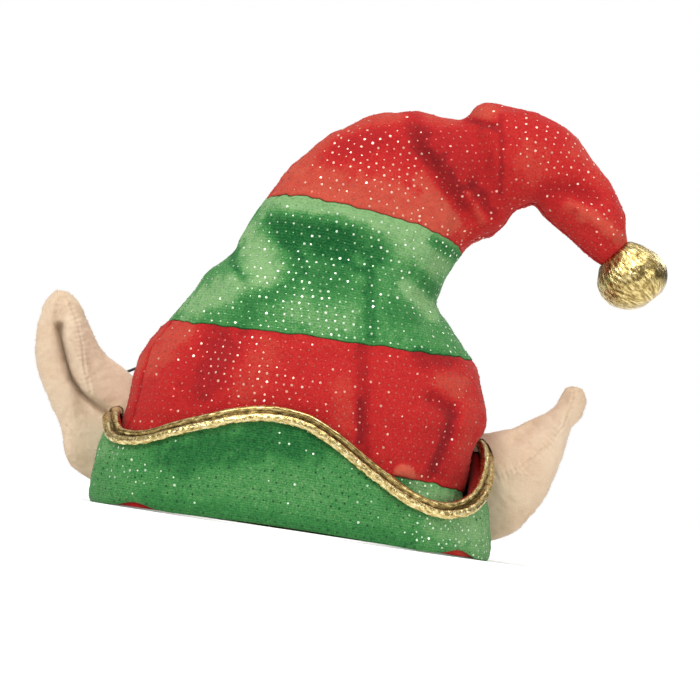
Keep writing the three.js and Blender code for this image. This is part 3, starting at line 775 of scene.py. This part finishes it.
def plush(name):
    """Short warm-coloured plush, a little blotched."""
    material, tree, shader = new_material(
        name, Roughness=0.95, Specular_IOR_Level=0.1, Sheen_Weight=0.2, Sheen_Roughness=0.5,
        Sheen_Tint=(1.0, 0.93, 0.86, 1),
    )
    pile = noise(tree, 0.7, 2, 0.7)
    tone = weighted(tree, 0.0, [(noise(tree, 16, 3, 0.6), 0.65), (pile, 0.35)])
    color = ramp(
        tree, tone, (0.25, (0.5, 0.35, 0.225)), (0.5, (0.59, 0.45, 0.315)), (0.75, (0.645, 0.52, 0.385)),
    )
    height = weighted(tree, 0.0, [(pile, 0.7), (noise(tree, 0.3, 1), 0.5)])
    wire(tree, shader, Base_Color=color, Normal=bump(tree, height, 0.6, 0.5))
    return material


def foil(name, flash, bright, tint, dull):
    """Stamped foil dots with painted light: some painted bright as glints, some tinted, some painted dull as
    dark reflections.
    """
    material, tree, shader = new_material(name, Metallic=0.6, Roughness=0.35)
    color = ramp(tree, attribute(tree, "painted_glint_fade"), (0.0, flash), (0.15, bright), (0.5, tint), (0.7, dull))
    wire(tree, shader, Base_Color=color, Normal=bump(tree, noise(tree, 0.4), 0.3, 0.05))
    return material


def braid(name):
    """Covered elastic: fine dark threads."""
    material, tree, shader = new_material(name, Roughness=0.6)
    thread = noise(tree, 0.3, 2)
    color = ramp(tree, thread, (0.3, (0.006, 0.006, 0.007)), (0.7, (0.03, 0.03, 0.032)))
    wire(tree, shader, Base_Color=color, Normal=bump(tree, thread, 0.6, 0.1))
    return material


# Velour colours: the dark and light ends give the nap's own tones and the chart's painted shade and painted
# highlights
RED = velour(
    "red_velour", dark=(0.166, 0.007, 0.0095), middle=(0.38, 0.013, 0.013), light=(0.44, 0.076, 0.044),
    sheen=(1.0, 0.5, 0.4), mottled=0.14, grained=0.8, ribbed=0.01,
)
GREEN = velour(
    "green_velour", dark=(0.003, 0.07, 0.016), middle=(0.042, 0.185, 0.048), light=(0.205, 0.35, 0.15),
    sheen=(0.7, 1.0, 0.65), mottled=0.35, grained=0.95, ribbed=0.055,
)
GILT = gilt("gilt_cloth", fine=0.3, coarse=1.0)
PLUSH = plush("peach_plush")
# Foil colours run from a painted glint through a tint to a painted dark reflection; the cuff's dull dots are
# painted near black
WARM_FOIL = foil("warm_foil", (0.82, 0.52, 0.42), (0.72, 0.4, 0.3), (0.62, 0.26, 0.19), (0.42, 0.08, 0.06))
COOL_FOIL = foil("cool_foil", (0.92, 0.95, 0.84), (0.56, 0.7, 0.5), (0.38, 0.56, 0.34), (0.18, 0.34, 0.16))
CUFF_FOIL = foil("cuff_foil", (0.85, 0.95, 0.8), (0.56, 0.72, 0.52), (0.34, 0.52, 0.32), (0.012, 0.06, 0.02))
BLACK = braid("black_elastic")

# Cloths: material, slot, foil and least share of its dots that get a painted glint
CLOTHS = {
    "red": (RED, "red_velour", (WARM_FOIL, 0.14)),
    "green": (GREEN, "green_velour", (COOL_FOIL, 0.4)),
    "cuff green": (GREEN, "green_velour", (CUFF_FOIL, 0.06)),
    "plain red": (RED, "red_velour", None),
}

# Bands: piece, node, seams below and above, columns, cloth, seed, flat cut (width, length, share it fills)
BANDS = [
    ("crown_base_cloth", "crown_base_band", "rim", "base", 440, "green", 11, (405, 27, 1)),
    ("crown_lower_cloth", "crown_lower_band", "base", "lower", 480, "red", 21, (390, 58, 0.95)),
    ("crown_middle_cloth", "crown_middle_band", "lower", "upper", 400, "green", 31, (310, 54, 0.87)),
    ("crown_tail_cloth", "crown_tail", "upper", "end", 300, "red", 41, (215, 165, 0.55)),
]


# Camera

def make_camera():
    ahead = VIEW_MIDDLE - EYE
    data = bpy.data.cameras.new("camera")
    data.sensor_width = SENSOR_WIDTH
    data.lens = SENSOR_WIDTH * ahead.length / VIEW_WIDTH
    data.clip_start = 0.05
    data.clip_end = 200
    camera = bpy.data.objects.new("camera", data)
    level = ahead.to_track_quat("-Z", "Y").to_matrix().to_4x4()
    camera.matrix_world = Matrix.Translation(EYE * MM) @ level @ Matrix.Rotation(VIEW_ROLL, 4, "Z")
    bpy.context.scene.collection.objects.link(camera)
    bpy.context.scene.camera = camera


# Chin elastic

def make_elastic(steps=400, sides=14):
    angles, ups = np.array(ELASTIC_ROUTE).T
    round_crown = crown_point(ups, np.radians(angles), -ELASTIC_CLEAR - ELASTIC_DIAMETER / 2, folded=False)
    points = np.vstack([[ELASTIC_RIGHT], round_crown, [ELASTIC_LEFT]])
    path, places = drawn(points, lengths_along(points), steps)
    ahead = unit(np.gradient(path, axis=0))
    side = unit(np.cross(ahead, [0, 0, 1]))
    over = np.cross(side, ahead)
    around = turns(sides)[None, :]
    strand = ELASTIC_STRANDS * around
    twist = ELASTIC_TWIST * places[:, None]
    braided = np.cos(strand + twist) * np.cos(strand - twist)
    radius = ELASTIC_DIAMETER / 2 - ELASTIC_SUNK + ELASTIC_BRAID * braided
    tube = rings(path[:, None], radius, around, side[:, None], over[:, None])
    piece = surface("chin_elastic_cord", tube, False, BLACK, "black_elastic")
    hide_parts("chin_elastic")


# Velour pieces

def spaced(start, end, step, edge_rows=6):
    """Places from start to end, close together at the rounded edges."""
    curl = EDGE * (1 - np.cos(np.linspace(0, math.pi / 2, edge_rows)))
    count = max(2, round((end - start - 2 * EDGE) / step) + 1)
    middle = np.linspace(start + EDGE, end - EDGE, count)
    return np.concatenate([start + curl[:-1], middle, (end - curl[:-1])[::-1]])


def rounded(away, radius):
    """How far an edge of some radius turns in at a distance from the edge."""
    room = radius - np.clip(away, 0, radius)
    return radius - np.sqrt(radius**2 - room**2)


def arc_lengths(points):
    """Distance round each row of a grid from its first column, and the whole way round."""
    steps = np.linalg.norm(np.roll(points, -1, axis=1) - points, axis=2)
    return np.cumsum(steps, axis=1) - steps, steps.sum(axis=1)


def seam_wander(seam, angles):
    """How far a sewn seam strays along the crown from its ideal line."""
    if seam in ("rim", "end"):
        return np.zeros(angles.shape)
    dice = np.random.default_rng(SEAM_ROWS[seam])
    waves = [(count, dice.uniform(0, TURN)) for count in SEAM_WAVES]
    return SEAM_STRAY * sum(np.cos(count * angles + start) for count, start in waves)


def crown_places_between(below, above, places, angles):
    """Places on a band, a row for each, moved near its seams as those stray."""
    near_below = 1 - eased(places - seam_at[below], SEAM_REACH)[:, None]
    near_above = 1 - eased(seam_at[above] - places, SEAM_REACH)[:, None]
    stray = near_below * seam_wander(below, angles) + near_above * seam_wander(above, angles)
    return places[:, None] + stray


def side_seams(places, angles, arcs, whole):
    """Nearness of the sewn lines down the sides, from 0 to 1."""
    lines = smooth_table(SIDE_SEAMS)(places)
    near = np.zeros(arcs.shape)
    for row, seams in enumerate(np.radians(lines) % TURN):
        for angle in seams:
            away = np.abs(arcs[row] - np.interp(angle, angles, arcs[row]))
            near[row] += bell(np.minimum(away, whole[row] - away), SIDE_SEAM_WIDTH)
    return near


def tuck_at(points):
    """Height of the dome of the tuck, from 0 to 1."""
    away = np.hypot(points[..., 0] - TUCK[0], points[..., 2] - TUCK[1]) / TUCK_RADIUS
    return np.where(points[..., 1] < 0, np.sqrt(np.clip(1 - away**2, 0, 1)), 0)


def make_cloth(name, node_name, inside, outside, loop, tone, rib, cloth, seed, piled):
    """A cloth piece of an inner face, its far row first, and an outer face, with its dots and pile."""
    material, slot, foil_kind = CLOTHS[cloth]
    nap = np.vstack([np.zeros(inside.shape[:2]), tone])
    piece = surface(name, np.vstack([inside, outside]), loop, material, slot, nap=nap, rib=rib)
    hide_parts(node_name)
    if foil_kind:
        foil_dots(name + "_dots", outside, foil_kind, seed)
    if piled:
        corners = grid_corners(np.dstack([outside, tone]))
        make_pile(name + "_pile", corners, VELOUR_PILE, material, seed)


def make_band(name, node_name, below, above, around, cloth, seed, cut, least_rows=12, sparseness=5):
    """A band of the crown; the last one is closed at the tail's end."""
    last = above == "end"
    start = seam_at[below] + SEAM_GAP / 2
    end = seam_at[above] - (0 if last else SEAM_GAP / 2)
    angles = turns(around)
    places = spaced(start, end, CLOTH_STEP)
    away = (places - start if last else np.minimum(places - start, end - places))[:, None]
    strayed = crown_places_between(below, above, places, angles)
    flat = crown_point(strayed, angles[None, :], rounded(away, EDGE))
    arcs, whole = arc_lengths(flat)
    seams = side_seams(places, angles, arcs, whole)
    bend = PUCKER_BEND * ripple(flat, PUCKER_BEND_SIZE, seed + 5)
    pucker = np.cos(arcs * TURN / PUCKER_SIZE + bend) * bell(away, PUCKER_REACH)
    relief = layered(flat, CLOTH_RELIEF, seed) + PUCKER_DEPTH * pucker - SIDE_SEAM_DEPTH * seams
    tuck = tuck_at(flat) if below == "base" else 0
    raised = eased(away, RELIEF_REACH) * relief + eased(away, TUCK_REACH) * TUCK_HEIGHT * tuck
    outside = flat + normals_of(flat) * raised[..., None]
    inner_count = max(least_rows, len(places) // sparseness)
    inner_places = np.linspace(start, end - VELOUR if last else end, inner_count)[::-1]
    inside = crown_point(crown_places_between(below, above, inner_places, angles), angles[None, :], VELOUR)
    # The chart's tone, painted shade along the side seams, and the tuck lighter
    tone = nap_at(outside, seed) - SIDE_SEAM_PAINTED_SHADE * seams + TUCK_TONE * np.sqrt(tuck)
    # Painted shade along the band's seams
    tone = tone - SEAM_PAINTED_SHADE * bell(away, SEAM_PAINTED_SHADE_REACH)
    rib = np.concatenate([inner_places, places])[:, None]
    piled = below != "rim"
    make_cloth(name, node_name, inside, outside, not last, tone, rib, cloth, seed, piled)


def make_cuff_layer(
    name, node_name, outer, inner, slack, bottom, top, around, cloth, seed, rows=64, inner_rows=14,
):
    """A standing layer of the cuff between two insets, rounded below on its outside."""
    angles = turns(around)[None, :]
    low = bottom(angles)
    high = top(angles)
    heights = low + np.linspace(0, 1, rows)[:, None] ** CUFF_CROWDING * (high - low)
    toe = (inner - outer) * rounded((heights - low) / CUFF_TOE, 1)
    head = rounded(high - heights, (inner - outer) / 2)
    flat = cuff_point(angles, heights, outer)
    away = np.minimum(heights - low, high - heights)
    relief = eased(away, CUFF_RELIEF_REACH) * layered(flat, CLOTH_RELIEF, seed) - np.maximum(toe, head)
    outside = flat + normals_of(flat) * relief[..., None]
    outside[..., 2] = np.maximum(outside[..., 2], low)
    shares = np.linspace(0, 1, inner_rows)[::-1, None]
    bulge = raised_by(slack, angles) * np.sin(math.pi * shares**2)
    inside = cuff_point(angles, low + shares * (high - low), inner + bulge)
    tone = nap_at(outside, seed)
    rib = np.vstack([inside, outside])[..., 2]
    piled = CLOTHS[cloth][2] is not None
    make_cloth(name, node_name, inside, outside, True, tone, rib, cloth, seed, piled)


# Pile

def grid_corners(grid):
    """Corners of the two triangles in each cell of a grid whose columns close."""
    low = grid[:-1]
    high = grid[1:]
    low_after = np.roll(low, -1, axis=1)
    high_after = np.roll(high, -1, axis=1)
    halves = [np.stack([low, low_after, high_after], axis=2), np.stack([low, high_after, high], axis=2)]
    return np.concatenate(halves).reshape(-1, 3, grid.shape[-1])


def mesh_corners(mesh):
    """Corners of the triangles of a mesh, in millimetres, with no nap or painted light."""
    mesh.calc_loop_triangles()
    corners = np.empty(3 * len(mesh.loop_triangles), np.int32)
    mesh.loop_triangles.foreach_get("vertices", corners)
    places = np.pad(vertex_values(mesh, "co") / MM, ((0, 0), (0, 1)))
    return places[corners.reshape(-1, 3)]


def make_pile(name, corners, pile, material, seed):
    """Short fibres on a face, as one mesh; the corners of its triangles hold x, y, z and the nap with its
    painted light.
    """
    density, length = pile
    dice = np.random.default_rng(seed)
    first, second, third = np.moveaxis(corners[..., :3], 1, 0)
    across = np.cross(second - first, third - first)
    area = np.linalg.norm(across, axis=1) / 2
    number = round(density * area.sum())
    chosen = dice.choice(len(area), number, p=area / area.sum())
    shares = dice.dirichlet((1, 1, 1), number)[..., None]
    held = (shares * corners[chosen]).sum(axis=1)
    roots = held[:, None, :3]
    lean = unit(unit(across[chosen]) + dice.normal(0, PILE_SPLAY, (number, 3)))
    side = unit(np.cross(lean, dice.normal(size=(number, 3))))
    other = np.cross(lean, side)
    ring = rings(roots, PILE_WIDTH, turns(3)[None, :], side[:, None], other[:, None])
    tips = roots + (lean * length * dice.uniform(*PILE_LENGTHS, (number, 1)))[:, None]
    vertices = np.concatenate([ring, tips], axis=1).reshape(-1, 3)
    vertices[:, 2] = np.maximum(vertices[:, 2], 0)
    faces = copies([(0, 2, 1), (0, 1, 3), (1, 2, 3), (2, 0, 3)], number, 4)
    piece = piece_from(name, vertices, faces, material)
    hold(piece, "nap", np.repeat(held[:, 3], 4))
    return piece


# Foil dots

def foil_dots(name, points, kind, seed):
    """Small foil discs in staggered rows on a cloth face, fewer where the cloth is bunched up."""
    material, least = kind
    dice = np.random.default_rng(seed)
    normals = normals_of(points)
    rows, count = points.shape[:2]
    arcs, whole = arc_lengths(points)
    steps = np.linalg.norm(np.diff(points, axis=0), axis=2)
    run = np.concatenate([[0], np.cumsum(steps.mean(axis=1))])
    centres = []
    facing = []
    for k, place in enumerate(np.arange(DOT_MARGINS[0], run[-1] - DOT_MARGINS[1], DOT_ROW_PITCH)):
        row = np.interp(place, run, np.arange(rows))
        near = int(row)
        number = max(1, round(whole[near] / DOT_PITCH))
        spots = (np.arange(number) + 0.5 * (k % 2) + dice.normal(0, DOT_STRAY[0], number)) / number % 1
        columns = np.interp(spots * whole[near], arcs[near], np.arange(count))
        stretch = steps[near, columns.astype(int)] / steps[near].mean()
        columns = columns[dice.uniform(0, 1, number) < stretch]
        lines = np.clip(row + dice.normal(0, DOT_STRAY[1], len(columns)), 0, rows - 1)
        centres.append(sampled(points, lines, columns))
        facing.append(sampled(normals, lines, columns))
    return discs(name, np.vstack(centres), np.vstack(facing), material, least, dice)


def sampled(grid, rows, columns):
    """Values of a grid between its points: rows stay inside it, and columns run round."""
    count = grid.shape[1]
    r = np.minimum(np.floor(rows).astype(int), len(grid) - 2)
    c = np.floor(columns).astype(int)
    down = (rows - r)[:, None]
    on = (columns - c)[:, None]
    here = grid[r, c % count] * (1 - on) + grid[r, (c + 1) % count] * on
    below = grid[r + 1, c % count] * (1 - on) + grid[r + 1, (c + 1) % count] * on
    return here * (1 - down) + below * down


def glint_at(points):
    """Share of bright dots: charted on the front, in patches on the back."""
    x = points[..., 0]
    z = points[..., 2]
    front = charted(GLINTS, x, z, lambda away: np.exp(-(away**GLINT_EDGE)))
    behind = ripple(points, NAP_BACK_SIZE, GLINT_SEED)
    return np.where(points[..., 1] < 0, front, behind)


def discs(name, centres, facing, material, least, dice):
    """Many small closed discs as one mesh, slightly tilted, of different sizes, with painted glints on some
    and painted dark reflections on the rest.
    """
    number = len(centres)
    facing = unit(facing + dice.normal(0, DOT_TILT, (number, 3)))
    side = unit(np.cross(facing, dice.normal(size=(number, 3))))
    other = np.cross(facing, side)
    bright = dice.uniform(0, 1, number) < np.maximum(glint_at(centres), least)
    radius = np.where(bright, DOT_BRIGHT, DOT_DULL) + DOT_SPREAD * dice.uniform(0, 1, number)
    middle = centres + facing * DOT_LIFT
    ring = rings(middle[:, None], radius[:, None], turns(DOT_SIDES)[None, :], side[:, None], other[:, None])
    top = middle + facing * DOT_DOME
    bottom = middle - facing * DOT_LIFT
    vertices = np.concatenate([ring, top[:, None], bottom[:, None]], axis=1)
    size = DOT_SIDES + 2
    over = [(k, (k + 1) % DOT_SIDES, DOT_SIDES) for k in range(DOT_SIDES)]
    under = [(after, k, hub + 1) for k, after, hub in over]
    faces = copies(over + under, number, size)
    piece = piece_from(name, vertices.reshape(-1, 3), faces, material, shade_smooth=False)
    # Painted glint on the bright dots, painted dark reflection on the others
    painted_glint_fade = np.where(bright, dice.uniform(*GLINT_FADE_BRIGHT, number), dice.uniform(*GLINT_FADE_DULL, number))
    hold(piece, "painted_glint_fade", np.repeat(painted_glint_fade, size))
    return piece


# Piping

def edge_frames(angles):
    """Points of the cuff's top edge, with the directions out of its face and up from its edge."""
    near = 0.01
    heights = scallop_height(angles)
    edge = cuff_point(angles, heights, 0)
    along = cuff_point(angles + near, scallop_height(angles + near), 0)
    along = along - cuff_point(angles - near, scallop_height(angles - near), 0)
    level = cuff_point(angles + near, heights, 0) - cuff_point(angles - near, heights, 0)
    rise = cuff_point(angles, heights + near, 0) - cuff_point(angles, heights - near, 0)
    out = unit(np.cross(level, rise))
    return edge, out, unit(np.cross(out, along))


def carried(section, angles):
    """A section of out and up distances carried along the cuff's top edge."""
    edge, out, up = edge_frames(angles)
    return edge[:, None] + section[None, :, :1] * out[:, None] + section[None, :, 1:] * up[:, None]


def make_piping(steps=900, sides=40, seed=71):
    corners = np.array(PIPING + PIPING[:1], float)
    section = drawn(corners, lengths_along(corners), sides + 1)[0][:-1]
    points = carried(section, turns(steps))
    flange = eased(FLANGE_TOP - section[:, 1], FLANGE_FADE)[None, :]
    run = lengths_along(points[:, 0])[:, None]
    across = lengths_along(section)[None, :]
    weave = np.stack(np.broadcast_arrays(across, PIPING_STRETCH * run, 0), axis=-1)
    relief = flange * layered(points, FLANGE_GRAIN, seed) + layered(points, PIPING_WRINKLES, seed + 2)
    points = points + normals_of(points) * relief[..., None]
    # Painted shade in the groove and a painted dark reflection on the cord's face
    tarnish = sum(
        share * bell(np.linalg.norm(section - np.array(place), axis=1), width)
        for place, width, share in PIPING_PAINTED_SHADE
    )
    grain = PIPING_CRINKLE + FLANGE_CRINKLE * flange
    piece = surface(
        "cuff_piping_trim", points, True, GILT, "gilt_cloth", grain=grain, weave=weave,
        tarnish=tarnish[None, :],
    )
    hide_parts("cuff_piping")


# Ears

def seam_height(line, x, z):
    """Ridge, sewn line and stitches of a seam at points seen from the front."""
    away, along = nearest_on(line, x, z)
    ridge = SEAM_RIDGE[1] + SEAM_STITCH[1] * np.cos(along * TURN / SEAM_STITCH[0])
    return ridge * bell(away, SEAM_RIDGE[0]) - SEAM_LINE[1] * bell(away, SEAM_LINE[0])


def ear_points(rows, lines, seam, seed, steps=170, sides=220):
    """An ear's surface: its sections with their lengthwise fold, and finer lines on the front."""
    sections = drawn(rows, distances(rows), steps)[0]
    lower_x, lower_z, upper_x, upper_z, depth, back, crease = sections.T[..., None]
    angle = turns(sides)[None, :]
    share = (1 - np.cos(angle)) / 2
    front = np.maximum(np.sin(angle), 0)
    dip = EAR_CREASE_SHARE * crease * bell(share - CREASE_MIDDLE, CREASE_WIDTH)
    thick = np.where(np.sin(angle) > 0, depth * (1 - dip), depth * EAR_BACK_SHARE)
    x = lower_x + share * (upper_x - lower_x)
    z = lower_z + share * (upper_z - lower_z)
    y = back - thick * np.sin(angle) + np.sqrt(front) * (sunk(lines, x, z) - seam_height(seam, x, z))
    points = np.stack([x, y, z], axis=-1)
    if ((points - points.mean(axis=1, keepdims=True)) * normals_of(points)).sum() < 0:
        points = points[:, ::-1]
    return points + normals_of(points) * layered(points, EAR_RELIEF, seed)[..., None]


def lean_lip(piece, slit):
    """Leans the right lip of a slit in an ear's front over the slit."""
    places = vertex_values(piece.data, "co")
    front = np.sqrt(np.clip(-vertex_values(piece.data, "normal")[:, 1], 0, 1))
    x, y, z = places.T / MM
    xs, zs = np.array(slit[::-1]).T
    ends = eased(z - zs[0], SLIT_EASE) * eased(zs[-1] - z, SLIT_EASE)
    share = nearest_on(slit, x, z)[0] / SLIT_LIP
    lean = SLIT_LEAN * share * np.exp(1 - share) * front * ends
    places[:, 0] -= np.where(x > np.interp(z, zs, xs), lean, 0) * MM
    piece.data.vertices.foreach_set("co", places.ravel())
    piece.data.update()


def make_ear(name, node_name, rows, lines, seam, slit, seed):
    piece = surface(name, ear_points(rows, lines, seam, seed), False, PLUSH, "peach_plush")
    rooms = ear_rooms()
    for room in rooms:
        cut = piece.modifiers.new("cut", "BOOLEAN")
        cut.operation = "DIFFERENCE"
        cut.solver = "EXACT"
        cut.object = room
    bpy.context.view_layer.update()
    evaluated = piece.evaluated_get(bpy.context.evaluated_depsgraph_get())
    mesh = bpy.data.meshes.new_from_object(evaluated)
    piece.modifiers.clear()
    piece.data = mesh
    for room in rooms:
        bpy.data.objects.remove(room)
    keep_largest(piece)
    if slit:
        lean_lip(piece, slit)
    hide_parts(node_name)
    corners = mesh_corners(piece.data)
    free = np.abs(corners[..., 0]).min(axis=1) > PILE_FROM
    make_pile(name + "_pile", corners[free], EAR_PILE, PLUSH, seed)


def ear_rooms(sides=112, cuff_rows=5, crown_rows=20, channel_steps=240):
    """What an ear's root clears: the filled cuff and crown, grown by the gap, and the piping's channel."""
    angles = turns(sides)[None, :]
    shares = np.linspace(0, 1, cuff_rows)[:, None]
    top = scallop_height(angles) + GAP
    cuff = cuff_point(angles, -GAP + shares * (top + GAP), -GAP)
    crown = crown_point(np.linspace(0, seam_at["lower"], crown_rows)[:, None], angles, -GAP)
    channel = carried(np.array(PIPING_ROOM, float), turns(channel_steps))
    rooms = [("room_cuff", cuff, False), ("room_crown", crown, False), ("room_piping", channel, True)]
    return [surface(name, points, loop, PLUSH, "peach_plush") for name, points, loop in rooms]


def keep_largest(piece):
    """Deletes all but the largest connected part of a mesh."""
    held = bmesh.new()
    held.from_mesh(piece.data)
    left = set(held.verts)
    parts = []
    while left:
        part = set()
        reached = {left.pop()}
        while reached:
            part |= reached
            reached = {end for vert in reached for edge in vert.link_edges for end in edge.verts} - part
        left -= part
        parts.append(part)
    largest = max(parts, key=len)
    bmesh.ops.delete(held, geom=[v for v in held.verts if v not in largest], context="VERTS")
    held.to_mesh(piece.data)
    held.free()


# Ball

def make_ball(rows=105, columns=200, end_samples=40, seed=80):
    tail_end = crown_point(seam_at["end"], turns(end_samples), 0).mean(axis=0)
    left_x, left_z, right_x, right_z = CROWN[-1][:4]
    hang = unit(np.array([left_z - right_z, 0, right_x - left_x]))
    across = np.array([hang[2], 0, -hang[0]])
    profile = np.array(BALL_LIP + BALL[2:])
    along, radius = drawn(profile, lengths_along(profile), rows)[0].T[..., None]
    angle = turns(columns)[None, :]
    way = BALL_WEAVE * np.array([np.cos(angle), np.sin(angle)])
    weave = np.stack(np.broadcast_arrays(*way, BALL_STRETCH * along), axis=-1)
    start, deepening, first = PLEATS_FROM
    end, fading, least = PLEATS_TO
    pleated = np.clip((end - along) / fading, least, 1) * np.clip((along - start) / deepening, first, 1)
    pleats = sum(
        depth * np.abs(ripple(weave, size, seed + k)) for k, (size, depth) in enumerate(BALL_PLEATS)
    )
    radius = radius + BALL_SWELL - pleated * pleats
    offset = rings(along[..., None] * hang, radius, angle, across, np.array([0, 1, 0]))
    free = eased(along - BALL_LIP[2][0], BALL_FREE_REACH)[..., None]
    middle = tail_end + hang * (GAP - BALL[0][0])
    points = middle + offset + free * (offset * BALL_SPREAD - np.array([0, 0, BALL_FALL]))
    piece = surface(
        "tip_ball_cover", points, False, GILT, "gilt_cloth", grain=BALL_CRINKLE + PLEAT_CRINKLE * pleated,
        weave=weave, tarnish=BALL_DARKENING,
    )
    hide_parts("tip_ball")


# Floor, light and colour

def make_floor(radius=40, sides=64):
    mesh = bpy.data.meshes.new("floor")
    corners = turns(sides)
    ring = radius * np.stack([np.cos(corners), np.sin(corners), 0 * corners], axis=-1)
    mesh.from_pydata(ring.tolist(), [], [list(range(sides))])
    material, tree, shader = new_material("floor", Roughness=0.9, Specular_IOR_Level=0.0)
    color = ramp(tree, noise(tree, 300), (0.3, (0.98, 0.98, 0.98)), (0.7, (0.99, 0.99, 0.99)))
    wire(tree, shader, Base_Color=color)
    mesh.materials.append(material)
    floor = bpy.data.objects.new("floor", mesh)
    bpy.context.scene.collection.objects.link(floor)


def make_light(name, kind, place, aim, **settings):
    data = bpy.data.lights.new(name, kind)
    for setting, value in settings.items():
        setattr(data, setting, value)
    light = bpy.data.objects.new(name, data)
    light.location = place
    light.rotation_euler = (Vector(aim) - Vector(place)).to_track_quat("-Z", "Y").to_euler()
    bpy.context.scene.collection.objects.link(light)


def make_world():
    """Even light on cloth, a darker room with a bright ceiling in reflections, and white behind the hat."""
    world = bpy.data.worlds.new("studio")
    bpy.context.scene.world = world
    world.use_nodes = True
    tree = world.node_tree
    way = node(tree, "TexCoord", {}).outputs["Generated"]
    height = node(tree, "SeparateXYZ", {"Vector": way}).outputs["Z"]
    room = ramp(tree, height, *[(place, (grey, grey, grey)) for place, grey in ROOM_GREYS])
    ray = node(tree, "LightPath", {}).outputs
    lit = node(tree, "MixRGB", {"Fac": ray["Is Glossy Ray"], "Color1": EVEN_LIGHT, "Color2": room})
    inputs = {"Fac": ray["Is Camera Ray"], "Color1": lit.outputs["Color"], "Color2": (1, 1, 1, 1)}
    seen = node(tree, "MixRGB", inputs)
    wire(tree, tree.nodes["Background"], Color=seen.outputs["Color"])


def make_studio():
    make_floor()
    make_world()
    make_light("key", "SUN", (-0.55, -0.95, 1.15), HAT, energy=1.9, angle=math.radians(30))
    make_light("front", "AREA", (-0.55, -0.95, 0.7), HAT, energy=2, size=0.4)
    make_light("side", "AREA", (0.95, -0.75, 0.45), HAT, energy=2.8, size=0.4)
    make_light("top", "AREA", (0.2, -0.1, 1.0), HAT, energy=3, size=0.5)
    make_light("rim", "AREA", (0.6, 0.8, 0.6), HAT, energy=2.5, size=0.4)
    make_light("hollow", "AREA", (0, 0, 0.03), (0, 0, 0), energy=0.04, size=0.08)
    bpy.context.scene.view_settings.view_transform = "Standard"


make_camera()
make_elastic()
for band in BANDS:
    make_band(*band)
make_cuff_layer(
    "cuff_cloth", "cuff", outer=0, inner=VELOUR, slack=NO_SLACK, bottom=rim_height, top=scallop_height,
    around=540, cloth="cuff green", seed=51,
)
make_cuff_layer(
    "cuff_facing_cloth", "cuff_facing", outer=VELOUR + LAYER_GAP, inner=VELOUR + LAYER_GAP + FACING,
    slack=FACING_SLACK, bottom=facing_bottom, top=facing_top, around=300, cloth="plain red", seed=61,
)
make_piping()
make_ear(
    "ear_left_plush", "ear_left", LEFT_EAR, LEFT_EAR_LINES, LEFT_EAR_SEAM, slit=LEFT_EAR_LINES[0][0],
    seed=91,
)
make_ear("ear_right_plush", "ear_right", RIGHT_EAR, RIGHT_EAR_LINES, RIGHT_EAR_SEAM, slit=None, seed=95)
make_ball()
make_studio()
